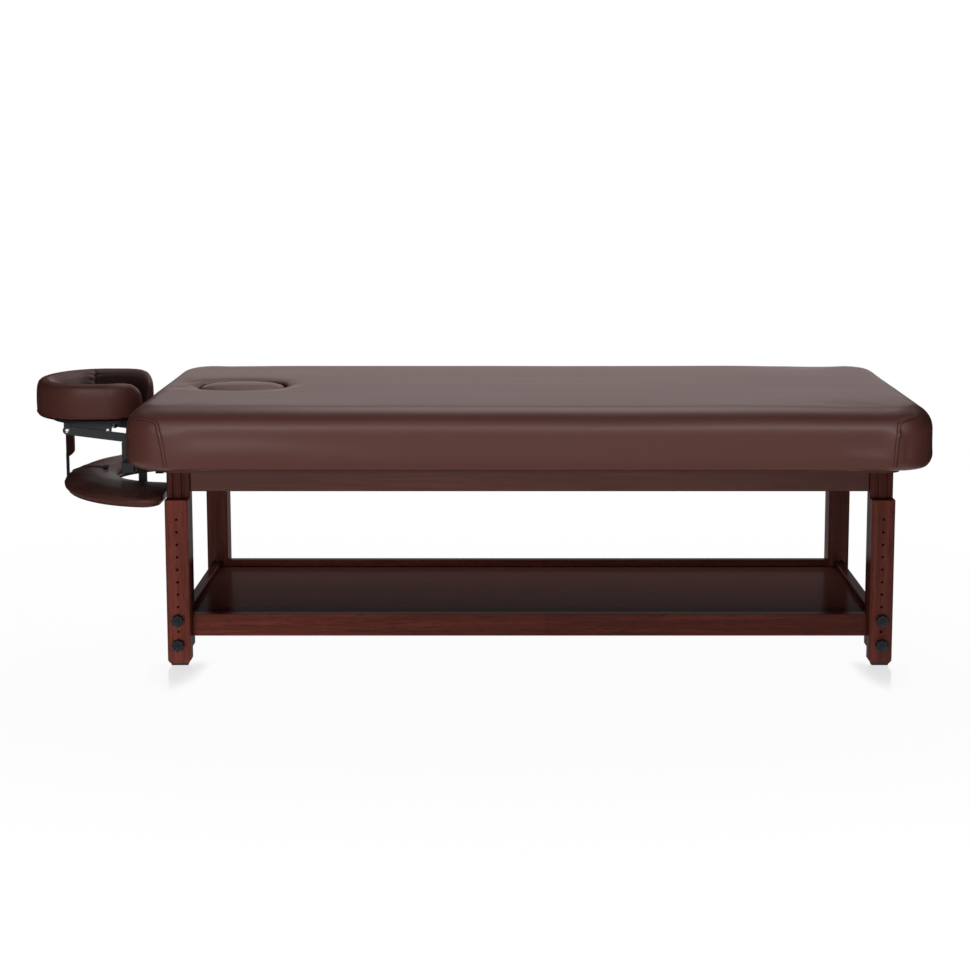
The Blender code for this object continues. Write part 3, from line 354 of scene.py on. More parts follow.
def mahogany_finish(along, depth, joint=None):
    """Stained hardwood under satin lacquer, with its grain along one axis.

    Two boards that are glued end to end meet at the joint, where the second turns a little darker. Painted
    shade darkens a rail gradually from 0.75 m before its joint to just past it and stays on beyond, and
    depth is painted light and shade for the whole piece.
    """
    looks = bpy.context.scene.table_timber
    name = "mahogany_%s_%d" % (along, round(100 * depth))
    made = Finish(name, Specular_IOR_Level=0.0, Coat_Weight=0.13, Coat_Roughness=0.20)
    stretch = stretched(along, 0.035)
    pores = made.noise(stretch, 1.0 / looks.pores, detail=4.0, roughness=0.62)
    bands = made.noise(stretch, 0.16 / looks.pores, detail=3.0, roughness=0.55)
    flecks = made.noise(stretched(along, 0.12), 0.75 / looks.pores, detail=1.0)
    boards = made.noise(stretched(along, 0.9, 2.0), 2.2, detail=1.0)
    dark = flecks.ramp(0.62, 0.74) * 0.55
    light = bands.ramp(0.45, 0.72)
    colour = made.blend(light * 0.75, looks.stain, looks.stain_light)
    colour = made.blend((pores.ramp(0.50, 0.72) * 0.8).at_least(dark), colour, looks.stain_dark)
    # random tone of the boards, times depth as painted light and shade
    shade = (0.62 + boards * 0.72) * depth
    if joint is not None:
        run = made.axes(made.place())["xyz".index(along)]
        step = run.ramp(joint - 0.0005, joint + 0.0005) * 0.10
        # painted shade that deepens towards the foot end, and the real step between the two boards
        shade = shade * (1.0 - run.ramp(joint - 0.75, joint + 0.05) * 0.33 - step)
    rough = looks.gloss + pores * 0.10 - 0.03
    height = 1.0 - pores.ramp(0.52, 0.75) * 0.7 - dark * 0.6
    return made.feed(Base_Color=made.tone(colour, shade), Roughness=rough,
                     Normal=made.relief(height, 0.0002, strength=0.35))


def apron_finish(along):
    """Close-grained apron board under a duller coat of the stain."""
    looks = bpy.context.scene.table_timber
    made = Finish("stained_apron_" + along, Specular_IOR_Level=0.0, Coat_Weight=0.15, Coat_Roughness=0.3)
    lines = made.noise(stretched(along, 0.02), 0.5 / looks.pores, detail=4.0, roughness=0.6)
    slow = made.noise((1.0, 2.0, 2.0), 2.5)
    colour = made.blend(lines.ramp(0.35, 0.75) * 0.35, looks.apron, looks.stain_dark)
    along_table = made.axes(made.place())[0]
    # slow random tone, and painted shade that darkens the apron towards the foot end
    shade = (0.80 + slow * 0.45) * (1.0 - along_table.ramp(0.35, 1.0) * 0.26)
    return made.feed(Base_Color=made.tone(colour, shade), Roughness=0.45 + lines * 0.1,
                     Normal=made.relief(lines, 0.0002, strength=0.15))


def laminate_finish():
    """Dark glossy shelf panel with a faint straight grain."""
    looks = bpy.context.scene.table_timber
    made = Finish("shelf_laminate", Specular_IOR_Level=0.0, Coat_Weight=0.055, Coat_Roughness=0.17)
    lines = made.noise((0.03, 1.0, 1.0), 260.0, detail=3.0)
    slow = made.noise((0.7, 1.0, 1.0), 3.0)
    # painted light: the panel's colour is raised up to 2.6 times towards its front edge
    front = 1.0 - made.axes(made.place())[1].ramp(-0.30, 0.10)
    colour = made.tone(looks.laminate, (0.58 + lines * 0.5 + slow * 0.3) * (1.0 + front * 1.6))
    return made.feed(Base_Color=colour, Roughness=0.20 + lines * 0.05 + slow * 0.05,
                     Normal=made.relief(lines, 0.0001, strength=0.12))


def deck_finish(half_length, half_width, middle, border):
    """Plywood deck: bare in the middle, with the vinyl turned under round its border."""
    timber = bpy.context.scene.table_timber
    vinyl = bpy.context.scene.table_upholstery.vinyl
    made = Finish("deck_plywood", Specular_IOR_Level=0.2)
    x, y, z = made.axes(made.place(move=(-middle, 0, 0)))
    wrapped = (x.size().ramp(half_length - border, half_length - border + 0.004)
               .at_least(y.size().ramp(half_width - border, half_width - border + 0.004)))
    grain = made.noise((0.05, 1.0, 1.0), 90.0, detail=4.0)
    plies = (z * 2100.0).wave() * 0.12
    wood = made.tone(timber.plywood, 0.65 + grain * 0.6 + plies)
    # the vinyl really turns under the deck; drawing it at 0.6 of its colour is painted shade under the
    # top's edge
    colour = made.blend(wrapped, wood, tuple(c * 0.6 for c in vinyl))
    return made.feed(Base_Color=colour, Roughness=0.72 - wrapped * 0.22,
                     Normal=made.relief(grain, 0.0003, strength=0.3))


def enamel_finish():
    """Black stove enamel on steel, faintly pebbled."""
    made = Finish("black_enamel", Specular_IOR_Level=0.30)
    pebble = made.noise(PLAIN, 1500.0)
    slow = made.noise(PLAIN, 45.0)
    colour = made.tone(bpy.context.scene.table_fittings.enamel, 0.75 + slow * 0.5)
    return made.feed(Base_Color=colour, Roughness=0.36 + slow * 0.10 + pebble * 0.05,
                     Normal=made.relief(pebble, 0.00012, strength=0.35))


def plastic_finish():
    """Matt moulded plastic with a fine spark texture."""
    made = Finish("black_plastic", Specular_IOR_Level=0.20)
    spark = made.noise(PLAIN, 2600.0)
    slow = made.noise(PLAIN, 60.0)
    colour = made.tone(bpy.context.scene.table_fittings.plastic, 0.8 + slow * 0.4)
    return made.feed(Base_Color=colour, Roughness=0.50 + slow * 0.10,
                     Normal=made.relief(spark, 0.0001, strength=0.5))


def steel_finish(brightness):
    """Plated steel, bright or blackened."""
    made = Finish("bright_steel" if brightness == 1.0 else "blackened_steel", Metallic=1.0)
    scratch = made.noise((1.0, 0.15, 1.0), 1800.0)
    cloud = made.noise(PLAIN, 300.0)
    steel = tuple(c * brightness for c in bpy.context.scene.table_fittings.steel)
    return made.feed(Base_Color=made.tone(steel, 0.85 + cloud * 0.3), Roughness=0.20 + scratch * 0.14)


def webbing_finish():
    """Woven strap: slanted ribs in a chevron, read from the strap's own length and width."""
    looks = bpy.context.scene.table_fittings
    made = Finish("dark_webbing", Specular_IOR_Level=0.3)
    along, across, _ = made.axes(made.add("ShaderNodeUVMap", {"uv_map": "strap"}))
    ribs = ((along + across.size()) * (2 * math.pi / looks.weave)).wave() * 0.5 + 0.5
    yarn = (across * (2 * math.pi / (0.6 * looks.weave))).wave() * 0.5 + 0.5
    height = ribs * 0.7 + yarn * 0.3
    fuzz = made.noise(PLAIN, 1400.0)
    colour = made.tone(looks.webbing, 0.55 + height * 0.6 + fuzz * 0.3)
    return made.feed(Base_Color=colour, Roughness=0.78 + fuzz * 0.15,
                     Normal=made.relief(height, 0.0003, strength=0.7))


# Mesh helpers

def in_scene(name, data):
    obj = bpy.data.objects.new(name, data)
    bpy.context.scene.collection.objects.link(obj)
    return obj


def new_piece(name, bm, material):
    """Object at the origin, with its place in its smooth-shaded mesh."""
    mesh = bpy.data.meshes.new(name)
    bm.to_mesh(mesh)
    bm.free()
    mesh.materials.append(material)
    mesh.shade_smooth()
    return in_scene(name, mesh)


def dress(obj, body, slot, *nodes):
    """The piece moves with a body and stands for the nodes that it covers. The slot is not used."""
    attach(obj, body)
    if nodes:
        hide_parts(*nodes)
    return obj


def modify(obj, kind, **settings):
    """Add a modifier with its settings."""
    made = obj.modifiers.new(kind.lower(), kind)
    for key, value in settings.items():
        setattr(made, key, value)
    return made


def shown_mesh(obj):
    """The mesh that an object's modifiers or curve settings show."""
    return bpy.data.meshes.new_from_object(obj.evaluated_get(bpy.context.evaluated_depsgraph_get()))


def surface_of(obj):
    """Search tree of an object's surface."""
    return BVHTree.FromObject(obj, bpy.context.evaluated_depsgraph_get())


def bake_modifiers(obj):
    """Make what the modifiers show the object's own mesh."""
    mesh = shown_mesh(obj)
    old = obj.data
    mesh.name = old.name
    obj.modifiers.clear()
    obj.data = mesh
    bpy.data.meshes.remove(old)
    return obj


def copy_of_node(name):
    """A node's solid as one joined-up mesh."""
    bm = bmesh.new()
    bm.from_mesh(NODES[name].data)
    bmesh.ops.remove_doubles(bm, verts=bm.verts, dist=TINY)
    return bm


def bevel(bm, edges, offset, segments):
    bmesh.ops.bevel(bm, geom=edges, affect="EDGES", offset=offset, offset_type="OFFSET",
                    segments=segments, profile=0.5, material=-1, clamp_overlap=False)


def face_outwards(bm):
    bmesh.ops.recalc_face_normals(bm, faces=bm.faces)


def soften(obj, width, segments):
    """Round off an object's sharp edges, with its other modifiers baked in too."""
    modify(obj, "BEVEL", width=width, segments=segments, limit_method="ANGLE", angle_limit=SHARP_ANGLE)
    bake_modifiers(obj).data.shade_smooth()
    return obj


def extrude(bm, step):
    """Make a solid of a flat form."""
    made = bmesh.ops.extrude_face_region(bm, geom=bm.faces[:])["geom"]
    bmesh.ops.translate(bm, verts=[v for v in made if isinstance(v, bmesh.types.BMVert)], vec=step)
    face_outwards(bm)


def edges_at_height(bm, height):
    return [e for e in bm.edges if all(abs(v.co.z - height) < TINY for v in e.verts)]


def points_of(mesh):
    flat = np.empty(3 * len(mesh.vertices), np.float32)
    mesh.vertices.foreach_get("co", flat)
    return flat.reshape(-1, 3).astype(float)


def set_points(mesh, points):
    mesh.vertices.foreach_set("co", points.astype(np.float32).ravel())
    mesh.update()


def edges_of(mesh):
    flat = np.empty(2 * len(mesh.edges), np.int32)
    mesh.edges.foreach_get("vertices", flat)
    return flat.reshape(-1, 2)


def evened(values, edges, rounds):
    """Values at points, each drawn towards the mean of its neighbours."""
    ends = np.concatenate([edges[:, 0], edges[:, 1]])
    others = np.concatenate([edges[:, 1], edges[:, 0]])
    counts = np.maximum(np.bincount(ends, minlength=len(values)), 1)
    for _ in range(rounds):
        total = np.stack([np.bincount(ends, weights=values[others, k], minlength=len(values))
                          for k in range(values.shape[1])], axis=1)
        values = 0.5 * values + 0.5 * total / counts[:, None]
    return values


def smooth_step(values, low, high):
    t = np.clip((values - low) / (high - low), 0, 1)
    return t * t * (3 - 2 * t)


def even_skin(obj, width):
    """Swap a closed form's faces for an even net of small ones that lies on the form."""
    form = in_scene("form", obj.data.copy())
    modify(obj, "REMESH", mode="VOXEL", voxel_size=width)
    modify(obj, "SHRINKWRAP", target=form, wrap_method="NEAREST_SURFACEPOINT")
    bake_modifiers(obj).data.shade_smooth()
    old = form.data
    bpy.data.objects.remove(form)
    bpy.data.meshes.remove(old)


CLOTH_FRAMES = 20
CLOTH = {"quality": 4, "mass": 0.3, "tension_stiffness": 25, "compression_stiffness": 25,
         "shear_stiffness": 10, "bending_stiffness": 2, "use_pressure": True}


def swell(obj, held, most, pressure=4.0):
    """Let the stuffing press a cover out where nothing holds it, by no more than the most allowed."""
    rest = points_of(obj.data)
    group = obj.vertex_groups.new(name="held")
    group.add([int(i) for i in np.flatnonzero(held)], 1.0, "REPLACE")
    stuffing = modify(obj, "CLOTH")
    settings = stuffing.settings
    for key, value in CLOTH.items():
        setattr(settings, key, value)
    settings.uniform_pressure_force = pressure
    settings.vertex_group_mass = group.name
    settings.effector_weights.gravity = 0
    stuffing.point_cache.frame_end = CLOTH_FRAMES
    scene = bpy.context.scene
    for step in range(1, CLOTH_FRAMES + 1):
        scene.frame_set(step)
    bake_modifiers(obj)
    scene.frame_set(1)
    obj.vertex_groups.clear()
    moved = points_of(obj.data) - rest
    reach = np.linalg.norm(moved, axis=1)
    moved *= np.minimum(1.0, most / np.maximum(reach, TINY))[:, None]
    moved = evened(moved, edges_of(obj.data), 6)
    moved[held] = 0
    set_points(obj.data, rest + moved)


def subdivide(obj):
    """One finished round of smooth subdivision."""
    modify(obj, "SUBSURF", levels=1, render_levels=1)
    bake_modifiers(obj)


def laid_grid(bm, rows):
    """Grid laid over rows of points, with each point's row and column."""
    last = len(rows) - 1
    width = len(rows[0]) - 1
    places = {}
    for vert in bmesh.ops.create_grid(bm, x_segments=last, y_segments=width, size=1.0)["verts"]:
        row = round((vert.co.x + 1) / 2 * last)
        column = round((vert.co.y + 1) / 2 * width)
        vert.co = rows[row][column]
        places[vert] = (row, column)
    return places


def ribbon(name, stations, section, material):
    """Strip laid along stations of (point, side, normal), with a section of (across, above) pairs."""
    bm = bmesh.new()
    strap = bm.loops.layers.uv.new("strap")
    lengths = [0.0]
    for (first, _, _), (second, _, _) in zip(stations, stations[1:]):
        lengths.append(lengths[-1] + (second - first).length)
    places = laid_grid(bm, [[point + side * across + normal * above for across, above in section]
                            for point, side, normal in stations])
    for face in bm.faces:
        for loop in face.loops:
            row, column = places[loop.vert]
            loop[strap].uv = (lengths[row], section[column][0])
    return new_piece(name, bm, material)


def headings(points):
    """Direction of a line at each of its points."""
    last = len(points) - 1
    return [(points[min(i + 1, last)] - points[max(i - 1, 0)]).normalized() for i in range(last + 1)]


def add_stitches(bm, points, normals, length, gap, radius):
    """Short thread stitches along a line of points."""
    walked = 0.0
    due = 0.0
    for first, second, normal in zip(points, points[1:], normals):
        step = second - first
        while due <= walked + step.length and step.length > TINY:
            spot = first.lerp(second, (due - walked) / step.length)
            along = step.normalized()
            side = normal.cross(along).normalized()
            turn = Matrix((along, side, along.cross(side))).transposed().to_4x4()
            shape = Matrix.Diagonal((length / 2, radius, radius, 1.0))
            bmesh.ops.create_uvsphere(bm, u_segments=STITCH_SIDES, v_segments=STITCH_SIDES - 1, radius=1.0,
                                      matrix=Matrix.Translation(spot) @ turn @ shape)
            due += length + gap
        walked += step.length


def tube(name, points, radius, material):
    """Round cord along a line of points."""
    curve = bpy.data.curves.new(name, "CURVE")
    curve.dimensions = "3D"
    curve.bevel_depth = radius
    curve.bevel_resolution = 4
    curve.use_fill_caps = True
    spline = curve.splines.new("POLY")
    spline.points.add(len(points) - 1)
    for spot, point in zip(spline.points, points):
        spot.co = (*point, 1.0)
    guide = in_scene(name + "_line", curve)
    mesh = shown_mesh(guide)
    bpy.data.objects.remove(guide)
    bpy.data.curves.remove(curve)
    bm = bmesh.new()
    bm.from_mesh(mesh)
    bpy.data.meshes.remove(mesh)
    bmesh.ops.remove_doubles(bm, verts=bm.verts, dist=TINY)
    face_outwards(bm)
    return new_piece(name, bm, material)


# Padded top

TOP_LOW, TOP_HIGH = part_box("top_cushion")
PLUG_LOW, PLUG_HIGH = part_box("face_hole_plug")
DECK_LOW, DECK_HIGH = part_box("top_deck")
TOP_EDGE_HEIGHT = TOP_HIGH.z - 0.0027   # the crowned top's edge
SEAM_ROW = 0.64                 # place of each row of stitches, as a share of half the seam's width
SEAM_SECTION = (                # share across half the seam's width, height above the cover
    (-1.00, -0.0008), (-0.90, 0.0002), (-0.76, 0.0006), (-0.64, -0.0007), (-0.52, 0.0007), (-0.25, 0.0011),
    (0.00, 0.0012), (0.25, 0.0011), (0.52, 0.0007), (0.64, -0.0007), (0.76, 0.0006), (0.90, 0.0002),
    (1.00, -0.0008),
)
SEAM_START = 0.014              # height of a seam's foot above the top's underside
SEAM_TURN = math.radians(66)    # how far round the upper edge a seam runs
THREAD = 0.0009                 # radius of its thread
PLUG_GAP = 0.0008
HOLE_CENTRE = (PLUG_LOW + PLUG_HIGH) / 2
HOLE_HALF = (PLUG_HIGH - PLUG_LOW) / 2 + Vector((PLUG_GAP, PLUG_GAP, 0))
DENT_DEPTH = 0.0045             # how far the ends of the face hole pull the cover down
RIM_DIP = 0.0015                # how far the hole's rim does so all round
WAVE_RISE = 0.0009              # height of the slow waves on the top
WAVE_BULGE = 0.0010             # depth of those in its long walls


def hole_cutter(low, high):
    """Full oval column that is cut out for the face hole, between two heights."""
    power = 2 / bpy.context.scene.table_upholstery.hole_power
    bm = bmesh.new()
    for vert in bmesh.ops.create_circle(bm, cap_ends=True, segments=96, radius=1.0)["verts"]:
        turn = math.atan2(vert.co.y, vert.co.x)
        across = math.copysign(abs(math.cos(turn)) ** power, math.cos(turn))
        along = math.copysign(abs(math.sin(turn)) ** power, math.sin(turn))
        vert.co = (HOLE_CENTRE.x + HOLE_HALF.x * across, HOLE_CENTRE.y + HOLE_HALF.y * along, low)
    extrude(bm, (0, 0, high - low))
    return new_piece("hole_cutter", bm, finish(vinyl_finish))


def top_form():
    """Block with round corners and edges, and a face hole with a rolled rim."""
    looks = bpy.context.scene.table_upholstery
    start = Vector((looks.top_start, looks.top_start, 0))
    low = TOP_LOW + start
    high = Vector((TOP_HIGH.x, TOP_HIGH.y, TOP_EDGE_HEIGHT)) - start
    bm = bmesh.new()
    bmesh.ops.create_cube(bm, size=1.0)
    bmesh.ops.scale(bm, verts=bm.verts, vec=high - low)
    bmesh.ops.translate(bm, verts=bm.verts, vec=(low + high) / 2)
    upright = [e for e in bm.edges if abs(e.verts[0].co.z - e.verts[1].co.z) > TINY]
    bevel(bm, upright, looks.top_corner, 18)
    bevel(bm, edges_at_height(bm, high.z), looks.top_upper_edge, 12)
    bevel(bm, edges_at_height(bm, low.z), looks.top_lower_edge, 8)
    obj = new_piece("top_cover", bm, finish(vinyl_finish))
    cutter = hole_cutter(low.z - 0.02, high.z + 0.02)
    modify(obj, "BOOLEAN", object=cutter)
    bake_modifiers(obj)
    bpy.data.objects.remove(cutter)
    bm = bmesh.new()
    bm.from_mesh(obj.data)
    rim = [e for e in edges_at_height(bm, high.z)
           if all(abs(v.co.x - HOLE_CENTRE.x) < HOLE_HALF.x + TINY and abs(v.co.y) < HOLE_HALF.y + TINY
                  for v in e.verts)]
    bevel(bm, rim, looks.hole_rim, 6)
    bm.to_mesh(obj.data)
    bm.free()
    return obj


def hole_distance(points):
    """Rough distance outwards from the face hole's edge, in plan."""
    power = bpy.context.scene.table_upholstery.hole_power
    x = np.abs(points[:, 0] - HOLE_CENTRE.x) / HOLE_HALF.x
    y = np.abs(points[:, 1] - HOLE_CENTRE.y) / HOLE_HALF.y
    ring = (x ** power + y ** power) ** (1 / power)
    reach = np.hypot(points[:, 0] - HOLE_CENTRE.x, points[:, 1] - HOLE_CENTRE.y)
    return reach * (1 - 1 / np.maximum(ring, TINY))


def seam_place(height, end):
    """X of the corner seam at a height, near one end of the top."""
    looks = bpy.context.scene.table_upholstery
    rise = np.clip((height - TOP_LOW.z) / (TOP_EDGE_HEIGHT - TOP_LOW.z), 0, 1)
    lean = looks.seam_lean if end < 0 else looks.seam_lean_foot
    inwards = looks.seam_foot - lean * rise ** 1.6
    inwards = inwards - looks.seam_sweep * smooth_step(rise, 0.80, 1.0)
    return TOP_LOW.x + inwards if end < 0 else TOP_HIGH.x - inwards


def top_held(points):
    """Which points of the top's cover are stapled, sewn or glued down."""
    x, y, z = points.T
    held = (z < TOP_LOW.z + 0.006) | (hole_distance(points) < 0.012)
    for end in (-1, 1):
        on_seam = np.abs(x - seam_place(z, end)) < 0.005
        held |= on_seam & (np.abs(y) > TOP_HIGH.y - 0.02) & (z < TOP_EDGE_HEIGHT - 0.05)
    return held


def firm_up(rest, points):
    """Firm foam: the flat of the top hardly rises, and the walls keep most of their bulge."""
    moved = points - rest
    moved[:, 2] *= 0.35
    return rest + moved


def draw_in(points):
    """Dents where the cover is pulled into the ends of the face hole, and slow waves in the foam."""
    x, y, z = points.T
    upper = smooth_step(z, TOP_EDGE_HEIGHT - 0.03, TOP_EDGE_HEIGHT - 0.004)
    for side in (-1, 1):
        from_end = (x - HOLE_CENTRE.x) * side - HOLE_HALF.x
        dent = np.exp(-(from_end / 0.020) ** 2 - (y / 0.022) ** 2)
        points[:, 2] -= DENT_DEPTH * dent * upper
    outwards = np.maximum(hole_distance(points), 0)
    points[:, 2] -= RIM_DIP * np.exp(-(outwards / 0.030) ** 2) * upper
    waves = np.array([noise.noise((4.0 * a, 5.0 * b, 9.0 * c)) for a, b, c in points])
    free = 1 - np.exp(-(outwards / 0.02) ** 2)
    foot = TOP_LOW.z + 0.01
    points[:, 2] += WAVE_RISE * waves * free * (z > foot)
    bulge = smooth_step(np.abs(y), 0.3, TOP_HIGH.y) * (z > foot)
    points[:, 1] += WAVE_BULGE * waves * np.sign(y) * bulge
    return points


def seam_stations(tree, end, side):
    """Points, sideways and outward directions along one corner seam, from its foot upwards."""
    looks = bpy.context.scene.table_upholstery
    radius = looks.top_upper_edge
    foot = TOP_LOW.z + SEAM_START
    bend = TOP_EDGE_HEIGHT - radius
    guides = [(foot + (bend - foot) * i / 8, 0.0) for i in range(8)]
    guides += [(bend, SEAM_TURN * i / 14) for i in range(15)]
    points = []
    normals = []
    for height, turn in guides:
        out = Vector((0, side * math.cos(turn), math.sin(turn)))
        x = float(seam_place(np.array(height + radius * math.sin(turn)), end))
        axis = Vector((x, side * (TOP_HIGH.y - radius), height))
        point, normal, _, _ = tree.ray_cast(axis + out * (radius + 0.05), -out)
        points.append(point)
        normals.append(normal)
    return [(point, normal.cross(along).normalized(), normal)
            for point, normal, along in zip(points, normals, headings(points))]


def build_top():
    """Cover of the top, its corner seams and their stitches."""
    looks = bpy.context.scene.table_upholstery
    obj = top_form()
    even_skin(obj, looks.top_skin)
    points = points_of(obj.data)
    swell(obj, top_held(points), looks.top_swell)
    set_points(obj.data, firm_up(points, points_of(obj.data)))
    set_points(obj.data, draw_in(points_of(obj.data)))
    dress(obj, "frame", "brown_vinyl", "top_cushion")
    tree = surface_of(obj)
    half = looks.seam_width / 2
    section = [(half * across, above) for across, above in SEAM_SECTION]
    threads = bmesh.new()
    for end, end_name in ((-1, "head"), (1, "foot")):
        for side, side_name in ((-1, "front"), (1, "back")):
            stations = seam_stations(tree, end, side)
            welt = ribbon("top_seam_" + side_name + "_" + end_name, stations, section, finish(vinyl_finish))
            dress(welt, "frame", "brown_vinyl")
            for row in (-SEAM_ROW, SEAM_ROW):
                line = [p + s * half * row + n * 0.0002 for p, s, n in stations]
                normals = [n for _, _, n in stations]
                add_stitches(threads, line, normals, looks.stitch, looks.stitch_gap, THREAD)
    dress(new_piece("top_seam_stitches", threads, finish(thread_finish)), "frame", "brown_vinyl")


def build_plug():
    """Cover of the plug, which stands a little proud of the top."""
    looks = bpy.context.scene.table_upholstery
    obj = new_piece("plug_cover", copy_of_node("face_hole_plug"), finish(vinyl_finish))
    even_skin(obj, looks.pad_skin)
    points = points_of(obj.data)
    rest = points.copy()
    swell(obj, points[:, 2] < PLUG_HIGH.z - 0.03, looks.pad_swell)
    points = points_of(obj.data)
    points[:, :2] = rest[:, :2]
    set_points(obj.data, points)
    subdivide(obj)
    points = points_of(obj.data)
    inwards = np.maximum(-hole_distance(points) - PLUG_GAP, 0)
    lift = looks.plug_rise + looks.plug_dome * smooth_step(inwards, 0.0, 0.035)
    points[:, 2] += lift * smooth_step(points[:, 2], PLUG_HIGH.z - 0.03, PLUG_HIGH.z - 0.008)
    set_points(obj.data, points)
    dress(obj, "plug", "brown_vinyl", "face_hole_plug")


# Face cushion

CUSHION_LOW, CUSHION_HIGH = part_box("cradle_cushion")
CUSHION_LIMB = 0.080            # width of the horseshoe's limbs
CUSHION_NOSE = 0.139            # length of the horseshoe's curved end
CUSHION_TIP = 0.024             # length over which a limb rounds off to its tip
CUSHION_CURL = 0.050            # how far the tips turn in towards each other
CUSHION_CURL_LENGTH = 0.085
CUSHION_CENTRE = Vector((CUSHION_LOW.x + CUSHION_NOSE, 0, 0))
CUSHION_SECTION = (             # share across a limb from its inner side, share of the height
    (0.16, 0.00), (0.48, 0.00), (0.80, 0.00), (0.92, 0.01), (0.985, 0.06), (1.005, 0.18),
    (1.012, 0.34), (1.012, 0.56), (1.004, 0.74), (0.985, 0.89), (0.945, 1.000), (0.870, 1.065),
    (0.765, 1.085), (0.645, 1.070), (0.515, 1.010), (0.385, 0.900), (0.265, 0.750), (0.155, 0.580),
    (0.060, 0.420), (0.015, 0.280), (0.015, 0.130), (0.060, 0.030), (0.16, 0.00),
)
DART_ANGLES = (104, 256)        # degrees round the horseshoe's middle, from the table's side
BASE_HEIGHT = 0.007             # the cushion's dark base cloth turns up this far
BASE_DEPTH = 0.12               # depth of its colour


def limb_stations():
    """Inner point, outer point and distance to the tip, from the near tip round to the far one."""
    straight = CUSHION_HIGH.x - CUSHION_CENTRE.x
    half = CUSHION_HIGH.y
    inner = half - CUSHION_LIMB
    near = []
    for i in range(20):
        away = straight * (i / 20) ** 1.5
        x = CUSHION_HIGH.x - away
        drawn = CUSHION_CURL * max(0.0, 1 - away / CUSHION_CURL_LENGTH) ** 2
        near.append((Vector((x, drawn - inner, 0)), Vector((x, drawn - half, 0)), away))
    bend = []
    for i in range(41):
        turn = math.pi * i / 40
        out = Vector((-math.sin(turn), -math.cos(turn), 0))
        bend.append((CUSHION_CENTRE + out * Vector((CUSHION_NOSE - CUSHION_LIMB, inner, 0)),
                     CUSHION_CENTRE + out * Vector((CUSHION_NOSE, half, 0)), straight))
    turned = Vector((1, -1, 1))
    far = [(first * turned, second * turned, away) for first, second, away in reversed(near)]
    return near + bend + far


def face_cushion_form():
    """Horseshoe with a tall outer wall, a funnel-like inner wall and tips that round off."""
    rows = []
    height = CUSHION_HIGH.z - CUSHION_LOW.z
    for inner, outer, away in limb_stations():
        short = 1 - min(1.0, away / CUSHION_TIP)
        full = math.sqrt(1 - short ** 2)
        droop = 0.14 * max(0.0, 1 - away / 0.05) ** 2
        row = []
        for across, level in CUSHION_SECTION:
            across = 0.5 + (across - 0.5) * (0.55 + 0.45 * full)
            level = 0.45 + (level - 0.45) * (0.50 + 0.50 * full) - droop
            row.append(inner.lerp(outer, across) + Vector((0, 0, CUSHION_LOW.z + height * level)))
        rows.append(row)
    bm = bmesh.new()
    laid_grid(bm, rows)
    bmesh.ops.remove_doubles(bm, verts=bm.verts, dist=TINY)
    bmesh.ops.holes_fill(bm, edges=[e for e in bm.edges if e.is_boundary], sides=0)
    face_outwards(bm)
    return new_piece("face_cushion_cover", bm, finish(vinyl_finish, head_end_painted_shade()))


# share of painted shade for the head-end vinyl, rounded so that the finish is shared
def head_end_painted_shade():
    return round(bpy.context.scene.table_upholstery.head_painted_shade, 3)


def across_limb(points):
    """Share of the way from the horseshoe's inner edge to its outer edge."""
    x = np.minimum(points[:, 0] - CUSHION_CENTRE.x, 0)
    y = points[:, 1]
    turn = np.arctan2(y, x)
    reach = np.hypot(x, y)
    half = CUSHION_HIGH.y
    outer = 1 / np.hypot(np.cos(turn) / CUSHION_NOSE, np.sin(turn) / half)
    inner = 1 / np.hypot(np.cos(turn) / (CUSHION_NOSE - CUSHION_LIMB), np.sin(turn) / (half - CUSHION_LIMB))
    return (reach - inner) / (outer - inner)


def sew_darts(points):
    """Creases of the sewn darts on the funnel, each with small puckers beside it."""
    looks = bpy.context.scene.table_upholstery
    share_out = across_limb(points)
    height = (points[:, 2] - CUSHION_LOW.z) / (CUSHION_HIGH.z - CUSHION_LOW.z)
    angle = np.arctan2(points[:, 1], points[:, 0] - CUSHION_CENTRE.x)
    reach = np.hypot(points[:, 0] - CUSHION_CENTRE.x, points[:, 1])
    on_funnel = smooth_step(height, 0.2, 0.5) * (1 - smooth_step(share_out, 0.42, 0.70))
    for degrees in DART_ANGLES:
        off = ((angle - math.radians(degrees) + math.pi) % (2 * math.pi) - math.pi) * reach
        crease = np.exp(-(off / 0.0030) ** 2) + 0.45 * np.exp(-(off / 0.011) ** 2)
        pucker = np.exp(-((np.abs(off) - 0.008) / 0.007) ** 2) * np.sin(share_out * 46)
        points[:, 2] -= (looks.dart_depth * crease + 0.0008 * pucker) * on_funnel
    return points


def build_face_cushion():
    """Cover of the face cushion, its dark base cloth and the welt between them."""
    looks = bpy.context.scene.table_upholstery
    obj = face_cushion_form()
    even_skin(obj, looks.pad_skin)
    points = points_of(obj.data)
    swell(obj, points[:, 2] < CUSHION_LOW.z + 0.012, 0.75 * looks.pad_swell, pressure=3.0)
    subdivide(obj)
    set_points(obj.data, sew_darts(points_of(obj.data)))
    obj.data.materials.append(finish(vinyl_finish, BASE_DEPTH))
    for face in obj.data.polygons:
        face.material_index = int(face.center.z < CUSHION_LOW.z + BASE_HEIGHT)
    dress(obj, "platform", "brown_vinyl", "cradle_cushion")
    tree = surface_of(obj)
    line = []
    for inner, outer, away in limb_stations():
        if away > 0.03:
            spot = outer.lerp(inner, -0.1) + Vector((0, 0, CUSHION_LOW.z + BASE_HEIGHT + 0.002))
            line.append(tree.find_nearest(spot)[0])
    welt = tube("face_cushion_welt", line, 0.0017, finish(vinyl_finish, head_end_painted_shade()))
    dress(welt, "platform", "brown_vinyl")


# Arm shelf

